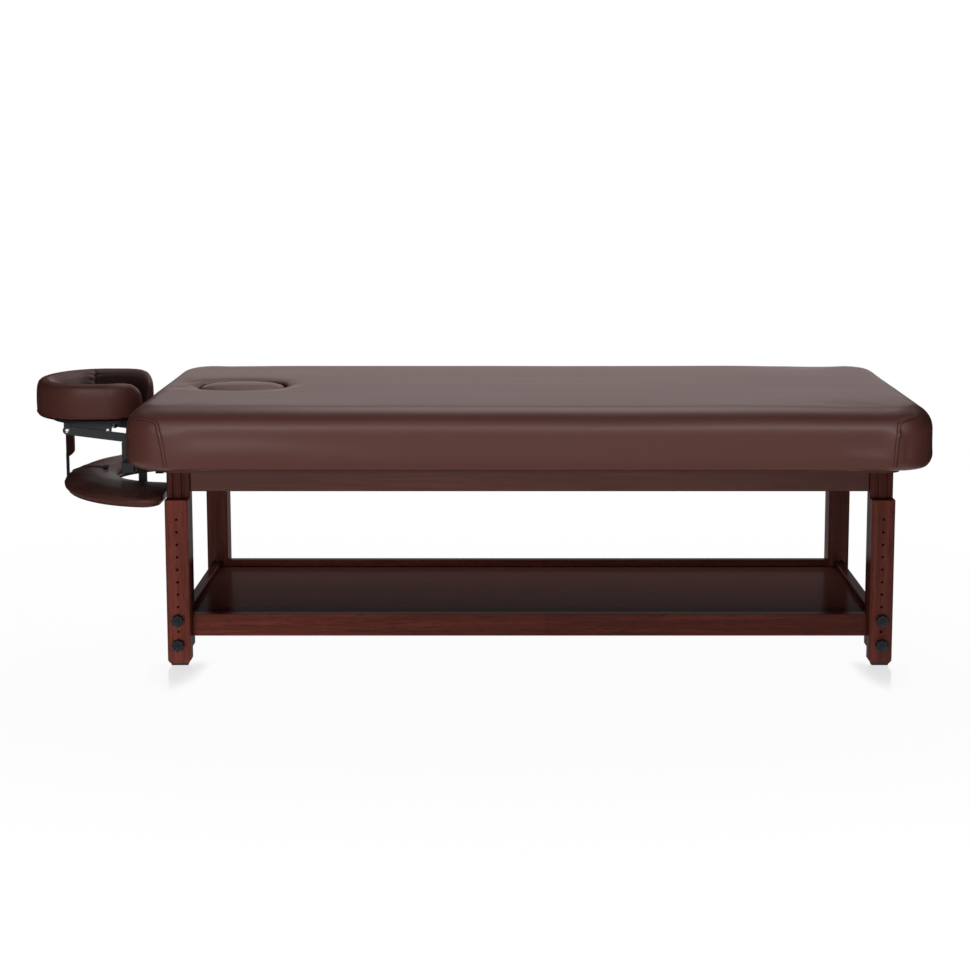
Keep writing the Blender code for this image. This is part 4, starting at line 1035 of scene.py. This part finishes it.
PAD_LOW, PAD_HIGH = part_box("arm_pad")
PAD_NOSE = 0.276                # length of the arm pad's curved end
PAD_HALF = 0.310                # half of its width before its tips round off


def bow(centre, nose, half_width, steps):
    """Points of a half oval open towards +X, from its near end round the nose to its far end."""
    turns = [math.pi * i / steps for i in range(steps + 1)]
    return [(centre - nose * math.sin(turn), -half_width * math.cos(turn)) for turn in turns]


def build_arm_pad():
    """Cover of the arm pad, its piping and the wrapped board under it."""
    looks = bpy.context.scene.table_upholstery
    vinyl = finish(vinyl_finish, head_end_painted_shade())
    obj = new_piece("arm_pad_cover", copy_of_node("arm_pad"), vinyl)
    even_skin(obj, looks.pad_skin)
    points = points_of(obj.data)
    swell(obj, points[:, 2] < PAD_LOW.z + 0.008, looks.pad_swell, pressure=3.0)
    subdivide(obj)
    dress(obj, "arm_shelf", "brown_vinyl", "arm_pad")
    inset = 0.0035
    line = bow(PAD_LOW.x + PAD_NOSE, PAD_NOSE - inset, PAD_HALF - inset, 120)
    line = [(x, y) for x, y in line if x < PAD_HIGH.x - 0.032]
    level = PAD_LOW.z + looks.piping / 2 + 0.0006
    piping = tube("arm_pad_piping", [(x, y, level) for x, y in line], looks.piping / 2, vinyl)
    dress(piping, "arm_shelf", "brown_vinyl")
    board = soften(new_piece("arm_board_cover", copy_of_node("arm_board"), vinyl), 0.0016, 3)
    dress(board, "arm_shelf", "brown_vinyl", "arm_board")


# Straps

STRAP_THICKNESS = 0.0018
TAB_PAINTED_SHADE = 0.22                # painted shade: the tab's vinyl is darkened to this share of its colour
TAB_LENGTH = 0.062              # from the rod that the tab goes round to its end
TAB_TAPER = 0.010
TAB_INSET = 0.0008              # the tab is narrower than the strap by this at each side
TAIL_Y = 0.014                  # the strap's tail lies just behind the arm pad's middle
TAIL_LENGTH = 0.084
TAIL_WIDTH = 0.012


def path_stations(points, across):
    """Stations along a line of points, with the strap's width along one fixed direction."""
    across = Vector(across)
    points = [Vector(p) for p in points]
    return [(point, across, along.cross(across).normalized())
            for point, along in zip(points, headings(points))]


def webbing(name, stations, width):
    """Woven strap with soft edges."""
    section = [(width * (i / 6 - 0.5), 0.0) for i in range(7)]
    strap = ribbon(name, stations, section, finish(webbing_finish))
    modify(strap, "SOLIDIFY", thickness=STRAP_THICKNESS, offset=0.0)
    return soften(strap, 0.0005, 2)


def build_rear_straps():
    """Straps that loop round the dowels, and their stitches."""
    stitches = bmesh.new()
    for name, side in SIDES.items():
        low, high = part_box("rear_strap_" + name)
        dowel_low, dowel_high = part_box("cradle_dowel_" + name)
        middle = (dowel_low + dowel_high) / 2
        radius = (dowel_high.z - dowel_low.z) / 2 + 0.0003 + STRAP_THICKNESS / 2
        x = (low.x + high.x) / 2
        inner = side * (abs(middle.y) - radius)
        path = [(x, inner, low.z + (middle.z - low.z) * i / 10) for i in range(10)]
        for i in range(31):
            turn = math.radians(180 - 11 * i)
            path.append((x, middle.y + side * radius * math.cos(turn), middle.z + radius * math.sin(turn)))
        strap = webbing("rear_strap_webbing_" + name, path_stations(path, (1, 0, 0)), high.x - low.x)
        dress(strap, "cradle", "dark_webbing", "rear_strap_" + name)
        face = inner - side * STRAP_THICKNESS / 2
        for level in (0.010, 0.0125):
            z = middle.z - radius - level
            line = [Vector((low.x + 0.002 + (high.x - low.x - 0.004) * i / 6, face, z)) for i in range(7)]
            add_stitches(stitches, line, [Vector((0, -side, 0))] * 7, 0.0022, 0.0008, 0.0004)
    dress(new_piece("rear_strap_stitches", stitches, finish(thread_finish)), "cradle", "dark_webbing")


def build_nose_strap():
    """Vinyl tab round the platform rod, and the strap that hangs from it."""
    low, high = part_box("front_strap")
    rod_low, rod_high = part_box("platform_rod")
    pivot = (rod_low + rod_high) / 2
    half = high.x - pivot.x
    width = high.y - low.y
    middle_y = (low.y + high.y) / 2
    tab_end = pivot.z - TAB_LENGTH
    bm = bmesh.new()
    rim = bmesh.ops.create_circle(bm, cap_ends=True, segments=48, radius=half)["verts"]
    bmesh.ops.rotate(bm, verts=bm.verts, cent=(0, 0, 0), matrix=Matrix.Rotation(math.pi / 2, 3, "X"))
    for vert in rim:
        if vert.co.z < -half * 0.05:
            share_down = min(1.0, -vert.co.z / half)
            reach = vert.co.x / half
            vert.co.x = half * math.copysign(min(1.0, abs(reach) * 1.6), reach)
            slope = TAB_TAPER * (1 - (vert.co.x + half) / (2 * half))
            vert.co.z = -share_down ** 0.4 * (TAB_LENGTH + slope)
    bmesh.ops.translate(bm, verts=bm.verts, vec=(pivot.x, middle_y - width / 2 + TAB_INSET, pivot.z))
    face_outwards(bm)
    extrude(bm, (0, width - 2 * TAB_INSET, 0))
    bevel(bm, [e for e in bm.edges if e.calc_face_angle(0.0) > math.radians(60)], 0.0015, 3)
    tab = new_piece("nose_strap_tab", bm, finish(vinyl_finish, TAB_PAINTED_SHADE))
    dress(tab, "nose_strap", "brown_vinyl")
    strap_x = low.x + STRAP_THICKNESS / 2
    path = [(strap_x, middle_y, tab_end + 0.004 + (low.z - tab_end - 0.004) * i / 16) for i in range(17)]
    strap = webbing("nose_strap_webbing", path_stations(path, (0, 1, 0)), width)
    dress(strap, "nose_strap", "dark_webbing", "front_strap")


def build_strap_tail():
    """Loose tail of the nose strap that lies on the arm pad, and its sliding toggle."""
    pad = surface_of(bpy.data.objects["arm_pad_cover"])
    stations = []
    for i in range(15):
        x = PAD_LOW.x + 0.007 + TAIL_LENGTH * i / 14
        above = Vector((x, TAIL_Y + 0.003 * math.sin(0.3 * i), PAD_HIGH.z + 0.05))
        point, normal, _, _ = pad.ray_cast(above, (0, 0, -1))
        stations.append((point + normal * (0.0004 + STRAP_THICKNESS / 2), Vector((0, 1, 0)), normal))
    dress(webbing("strap_tail", stations, TAIL_WIDTH), "arm_shelf", "dark_webbing")
    place, _, normal = stations[-1]
    bm = bmesh.new()
    bmesh.ops.create_cube(bm, size=1.0)
    bmesh.ops.scale(bm, verts=bm.verts, vec=(0.011, 0.017, 0.0065))
    bevel(bm, bm.edges[:], 0.0018, 3)
    bmesh.ops.translate(bm, verts=bm.verts, vec=place + normal * 0.0022)
    dress(new_piece("strap_toggle", bm, finish(plastic_finish)), "arm_shelf", "black_plastic")


# Timber and fittings: each depth scales the stain's colour on its piece, as painted light and shade

# painted light and shade: the front head leg is lit up, and the other legs, the posts and the rails are
# darkened where less light reaches them
LEG_PAINTED_LIGHT = {"front_head": 1.20, "front_foot": 0.70, "back_head": 0.50, "back_foot": 0.90}
POST_PAINTED_SHADE = 0.40
RAIL_PAINTED_SHADE = {"front": 0.92, "back": 0.46}
END_RAIL_PAINTED_SHADE = 0.40
RAIL_JOINT = 0.173              # two boards of a long shelf rail meet here
DECK_BORDER = 0.055             # width of the vinyl that is turned under the deck
BLACKENED = 0.06                # brightness of the bolts' steel
KNOB_HUB = 0.005                # length of a knob's hub
KNOB_HUB_RADIUS = 0.0085
KNOB_RINGS = ((0.0012, 0.0), (0.0006, -0.0005))  # width of each ring of the cap, and its step


def paint(name, material):
    """Give a CAD node one finish all over."""
    mesh = NODES[name].data
    mesh.materials.clear()
    mesh.materials.append(material)


class MASSAGE_OT_finish_timber(bpy.types.Operator):
    """Stain the frame, its shelf and its deck"""

    bl_idname = "massage_table.finish_timber"
    bl_label = "Finish timber"

    def execute(self, context):
        for corner, depth in LEG_PAINTED_LIGHT.items():
            paint("leg_" + corner, finish(mahogany_finish, "z", depth))
            paint("post_" + corner, finish(mahogany_finish, "z", POST_PAINTED_SHADE))
        for place, depth in RAIL_PAINTED_SHADE.items():
            paint("apron_" + place, finish(apron_finish, "x"))
            paint("shelf_rail_" + place, finish(mahogany_finish, "x", depth, RAIL_JOINT))
        for place in ("head", "foot"):
            paint("apron_" + place, finish(apron_finish, "y"))
            paint("shelf_rail_" + place, finish(mahogany_finish, "y", END_RAIL_PAINTED_SHADE))
        paint("shelf_panel", finish(laminate_finish))
        half = (DECK_HIGH - DECK_LOW) / 2
        middle = (DECK_HIGH.x + DECK_LOW.x) / 2
        paint("top_deck", finish(deck_finish, half.x, half.y, middle, DECK_BORDER))
        return {"FINISHED"}


class MASSAGE_OT_finish_fittings(bpy.types.Operator):
    """Enamel, plastic and steel for the cradle, glides and bolts"""

    bl_idname = "massage_table.finish_fittings"
    bl_label = "Finish fittings"

    def execute(self, context):
        pairs = ("cradle_dowel_", "cradle_arm_", "platform_bracket_")
        enamelled = ["cradle_base"] + [pair + side for pair in pairs for side in SIDES]
        moulded = ["cradle_platform", "cam_lever"] + ["glide_" + c for c in CORNERS]
        for maker, names in ((enamel_finish, enamelled), (plastic_finish, moulded)):
            for name in names:
                paint(name, finish(maker))
        for name in ("arm_rod", "platform_rod", "lock_rod"):
            paint(name, finish(steel_finish, 1.0))
        for label in KNOBS:
            paint("bolt_" + label, finish(steel_finish, BLACKENED))
        return {"FINISHED"}


class MASSAGE_OT_make_knobs(bpy.types.Operator):
    """Fluted hand knobs of the legs"""

    bl_idname = "massage_table.make_knobs"
    bl_label = "Make knobs"

    def execute(self, context):
        for label in KNOBS:
            build_knob(label)
        return {"FINISHED"}


def build_knob(label):
    """Fluted head with a rounded rim and a sunk cap, on a short hub."""
    looks = bpy.context.scene.table_fittings
    low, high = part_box("knob_" + label)
    outwards = -1 if low.y < 0 else 1
    radius = (high.z - low.z) / 2
    head = high.y - low.y - KNOB_HUB
    bm = bmesh.new()
    bmesh.ops.create_cone(bm, cap_ends=True, segments=12 * looks.knob_lobes, radius1=radius, radius2=radius,
                          depth=head, matrix=Matrix.Translation((0, 0, head / 2)))
    for vert in bm.verts:
        turn = math.atan2(vert.co.y, vert.co.x)
        reach = 1 + looks.lobe_depth / radius * (math.cos(looks.knob_lobes * turn) - 1)
        vert.co.xy *= reach
    bevel(bm, edges_at_height(bm, head), looks.knob_edge, 5)
    bevel(bm, edges_at_height(bm, 0.0), looks.knob_edge / 2, 2)
    bm.normal_update()
    cap = max((f for f in bm.faces if f.normal.z > 0.9), key=lambda f: f.calc_area())
    for width, step in KNOB_RINGS:
        bmesh.ops.inset_individual(bm, faces=[cap], thickness=width, depth=step)
    bmesh.ops.poke(bm, faces=[cap])
    bmesh.ops.create_cone(bm, cap_ends=True, segments=40, radius1=KNOB_HUB_RADIUS, radius2=KNOB_HUB_RADIUS,
                          depth=KNOB_HUB + 0.002, matrix=Matrix.Translation((0, 0, 0.001 - KNOB_HUB / 2)))
    turn = Matrix.Rotation(-outwards * math.pi / 2, 4, "X")
    seat = Vector(((low.x + high.x) / 2, (low.y if outwards > 0 else high.y) + outwards * KNOB_HUB,
                   (low.z + high.z) / 2))
    bmesh.ops.transform(bm, verts=bm.verts, matrix=Matrix.Translation(seat) @ turn)
    face_outwards(bm)
    obj = new_piece("knob_moulding_" + label, bm, finish(plastic_finish))
    obj.data.set_sharp_from_angle(angle=SHARP_ANGLE)
    dress(obj, label + "_knob", "black_plastic", "knob_" + label)


class MASSAGE_OT_make_top(bpy.types.Operator):
    """Stuffed top with its corner seams"""

    bl_idname = "massage_table.make_top"
    bl_label = "Make top"

    def execute(self, context):
        build_top()
        return {"FINISHED"}


class MASSAGE_OT_make_plug(bpy.types.Operator):
    """Stuffed plug of the face hole"""

    bl_idname = "massage_table.make_plug"
    bl_label = "Make plug"

    def execute(self, context):
        build_plug()
        return {"FINISHED"}


class MASSAGE_OT_make_face_cushion(bpy.types.Operator):
    """Horseshoe face cushion"""

    bl_idname = "massage_table.make_face_cushion"
    bl_label = "Make face cushion"

    def execute(self, context):
        build_face_cushion()
        return {"FINISHED"}


class MASSAGE_OT_make_arm_pad(bpy.types.Operator):
    """Arm pad with its piping and wrapped board"""

    bl_idname = "massage_table.make_arm_pad"
    bl_label = "Make arm pad"

    def execute(self, context):
        build_arm_pad()
        return {"FINISHED"}


class MASSAGE_OT_make_straps(bpy.types.Operator):
    """Webbing that hangs the arm shelf"""

    bl_idname = "massage_table.make_straps"
    bl_label = "Make straps"

    def execute(self, context):
        build_rear_straps()
        build_nose_strap()
        build_strap_tail()
        return {"FINISHED"}


# Studio

LAMP_TARGET = (0.1, 0.0, 0.4)
LYING = Matrix()
SIDEWAYS = Matrix.Rotation(math.pi / 2, 4, "Y")
FACING = Matrix.Rotation(math.pi / 2, 4, "X")
FLAGS = (                       # name, place, turn, width, height
    ("overhead_flag", (0.1, -1.05, 2.8), LYING, 6.0, 1.9),
    ("head_floor_flag", (-2.4, 0.0, 0.01), LYING, 1.9, 5.0),
    ("foot_floor_flag", (2.45, 0.0, 0.01), LYING, 2.1, 5.0),
    ("head_flag", (-3.2, 0.0, 1.5), SIDEWAYS, 3.0, 5.0),
    ("foot_flag", (3.4, 0.0, 1.5), SIDEWAYS, 3.0, 5.0),
    ("back_flag", (0.1, 3.4, 2.1), FACING, 8.0, 0.8),
    ("back_head_flag", (-3.0, 2.6, 1.5), FACING, 3.0, 3.0),
    ("back_foot_flag", (3.4, 2.6, 1.5), FACING, 3.0, 3.0),
)


def build_floor():
    """White floor that keeps a faint shadow, with a little polish round each foot."""
    looks = bpy.context.scene.table_studio
    bm = bmesh.new()
    bmesh.ops.create_circle(bm, cap_ends=True, segments=96, radius=looks.floor_radius)
    material = bpy.data.materials.new("studio_floor")
    material.use_nodes = True
    tree = material.node_tree
    nodes = Nodes(tree)
    tree.nodes.remove(tree.nodes["Principled BSDF"])
    x, y, _ = nodes.axes(nodes.place())
    polish = 0.0
    for corner in CORNERS:
        low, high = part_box("glide_" + corner)
        foot = (low + high) / 2
        away = ((x - foot.x) * 13.0) ** 2.0 + ((y - foot.y) * 4.6) ** 2.0
        before = 1.0 - y.ramp(foot.y - 0.02, foot.y + 0.04)
        polish = ((1.0 - away.ramp(0.02, 1.0)) * before).at_least(polish)
    near = 1.0 - (x ** 2.0 * 0.35 + y ** 2.0).ramp(0.5, 2.2)
    whiteness = 1.0 - near * (1.0 - looks.white)
    matt = nodes.add("ShaderNodeBsdfDiffuse", {}, {"Color": looks.floor})
    plain = nodes.add("ShaderNodeEmission", {}, {"Color": WHITE, "Strength": 1.0})
    gloss = nodes.add("ShaderNodeBsdfGlossy", {}, {"Color": WHITE, "Roughness": 0.2})
    white = nodes.add("ShaderNodeMixShader", {}, {0: nodes.seen_rays() * whiteness, 1: matt, 2: plain})
    shiny = nodes.add("ShaderNodeMixShader", {}, {0: polish * looks.shine, 1: white, 2: gloss})
    nodes.join(tree.nodes["Material Output"].inputs["Surface"], shiny)
    new_piece("studio_floor", bm, material)


def build_world():
    """Bright front and back, dim sides and ceiling, and plain white round the table."""
    looks = bpy.context.scene.table_studio
    world = bpy.context.scene.world or bpy.data.worlds.new("studio")
    bpy.context.scene.world = world
    world.use_nodes = True
    nodes = Nodes(world.node_tree)
    _, y, z = nodes.axes(nodes.add("ShaderNodeTexCoord", output=0))
    front = (y * -1.0).ramp(0.75, 1.0) * (1.0 - z.ramp(0.10, 0.40))
    back = y.ramp(0.25, 0.80) * (1.0 - z.ramp(0.55, 0.9))
    light = front * looks.front + back * looks.back + looks.gloom
    shown = nodes.blend(nodes.seen_rays(), light, WHITE)
    background = world.node_tree.nodes["Background"]
    nodes.join(background.inputs["Color"], shown)
    background.inputs["Strength"].default_value = 1.0


def add_flag(name, place, turn, width, height, glow=0.0):
    """Dark or glowing panel that only reflections show."""
    bm = bmesh.new()
    bmesh.ops.create_grid(bm, x_segments=1, y_segments=1, size=0.5)
    shape = Matrix.Diagonal((width, height, 1.0, 1.0))
    bmesh.ops.transform(bm, verts=bm.verts, matrix=Matrix.Translation(place) @ turn @ shape)
    made = Finish(name, Base_Color=(0.02, 0.02, 0.02), Roughness=1.0, Specular_IOR_Level=0.0,
                  Emission_Color=WHITE, Emission_Strength=glow)
    flag = new_piece(name, bm, made.material)
    for rays in ("camera", "diffuse", "transmission", "shadow"):
        setattr(flag, "visible_" + rays, False)


def add_lamp(name, power, place, width, height):
    """Rectangular lamp that points at the table's middle."""
    lamp = bpy.data.lights.new(name, "AREA")
    lamp.shape = "RECTANGLE"
    lamp.size = width
    lamp.size_y = height
    lamp.energy = power
    obj = in_scene(name, lamp)
    obj.location = place
    obj.rotation_euler = (Vector(LAMP_TARGET) - Vector(place)).to_track_quat("-Z", "Y").to_euler()
    return obj


class MASSAGE_OT_set_stage(bpy.types.Operator):
    """Floor, studio light and camera"""

    bl_idname = "massage_table.set_stage"
    bl_label = "Set stage"

    def execute(self, context):
        looks = context.scene.table_studio
        context.scene.view_settings.view_transform = "Standard"
        build_floor()
        build_world()
        for name, across in (("head_softbox", -1.75), ("foot_softbox", 1.75)):
            add_lamp(name, looks.softbox, (across, -4.8, 2.25), 2.7, 1.15).visible_diffuse = False
        add_lamp("front_lamp", looks.front_lamp, (-0.5, -4.6, 0.6), 3.2, 0.8).visible_glossy = False
        add_lamp("back_lamp", looks.back_lamp, (0.1, 2.6, 2.8), 3.2, 1.2).visible_glossy = False
        add_flag("overhead_panel", (0.3, 0.75, 2.8), LYING, 2.3, 1.7, glow=looks.overhead)
        for flag in FLAGS:
            add_flag(*flag)
        lens = bpy.data.cameras.new("camera")
        for key in ("lens", "shift_x", "shift_y"):
            setattr(lens, key, getattr(looks, key))
        camera = in_scene("camera", lens)
        camera.location = looks.eye
        camera.rotation_euler = (math.pi / 2 - looks.dip, 0, 0)
        context.scene.camera = camera
        return {"FINISHED"}


STEPS = (
    MASSAGE_OT_finish_timber,
    MASSAGE_OT_finish_fittings,
    MASSAGE_OT_make_knobs,
    MASSAGE_OT_make_top,
    MASSAGE_OT_make_plug,
    MASSAGE_OT_make_face_cushion,
    MASSAGE_OT_make_arm_pad,
    MASSAGE_OT_make_straps,
    MASSAGE_OT_set_stage,
)


class MASSAGE_PT_looks(bpy.types.Panel):
    """Lists the steps in their order"""

    bl_label = "Massage Table"
    bl_idname = "MASSAGE_PT_looks"
    bl_space_type = "VIEW_3D"
    bl_region_type = "UI"
    bl_category = "Massage Table"

    def draw(self, context):
        for step in STEPS:
            self.layout.operator(step.bl_idname)


SETTINGS = {
    "table_upholstery": UpholsterySettings,
    "table_timber": TimberSettings,
    "table_fittings": FittingSettings,
    "table_studio": StudioSettings,
}


def register():
    for group in SETTINGS.values():
        bpy.utils.register_class(group)
    for name, group in SETTINGS.items():
        setattr(bpy.types.Scene, name, PointerProperty(type=group))
    for step in STEPS:
        bpy.utils.register_class(step)
    bpy.utils.register_class(MASSAGE_PT_looks)


def unregister():
    bpy.utils.unregister_class(MASSAGE_PT_looks)
    for step in reversed(STEPS):
        bpy.utils.unregister_class(step)
    for name, group in SETTINGS.items():
        delattr(bpy.types.Scene, name)
        bpy.utils.unregister_class(group)


def main():
    register()
    table = bpy.ops.massage_table
    table.finish_timber()
    table.finish_fittings()
    table.make_knobs()
    table.make_top()
    table.make_plug()
    table.make_face_cushion()
    table.make_arm_pad()
    table.make_straps()
    table.set_stage()


if __name__ == "__main__":
    main()
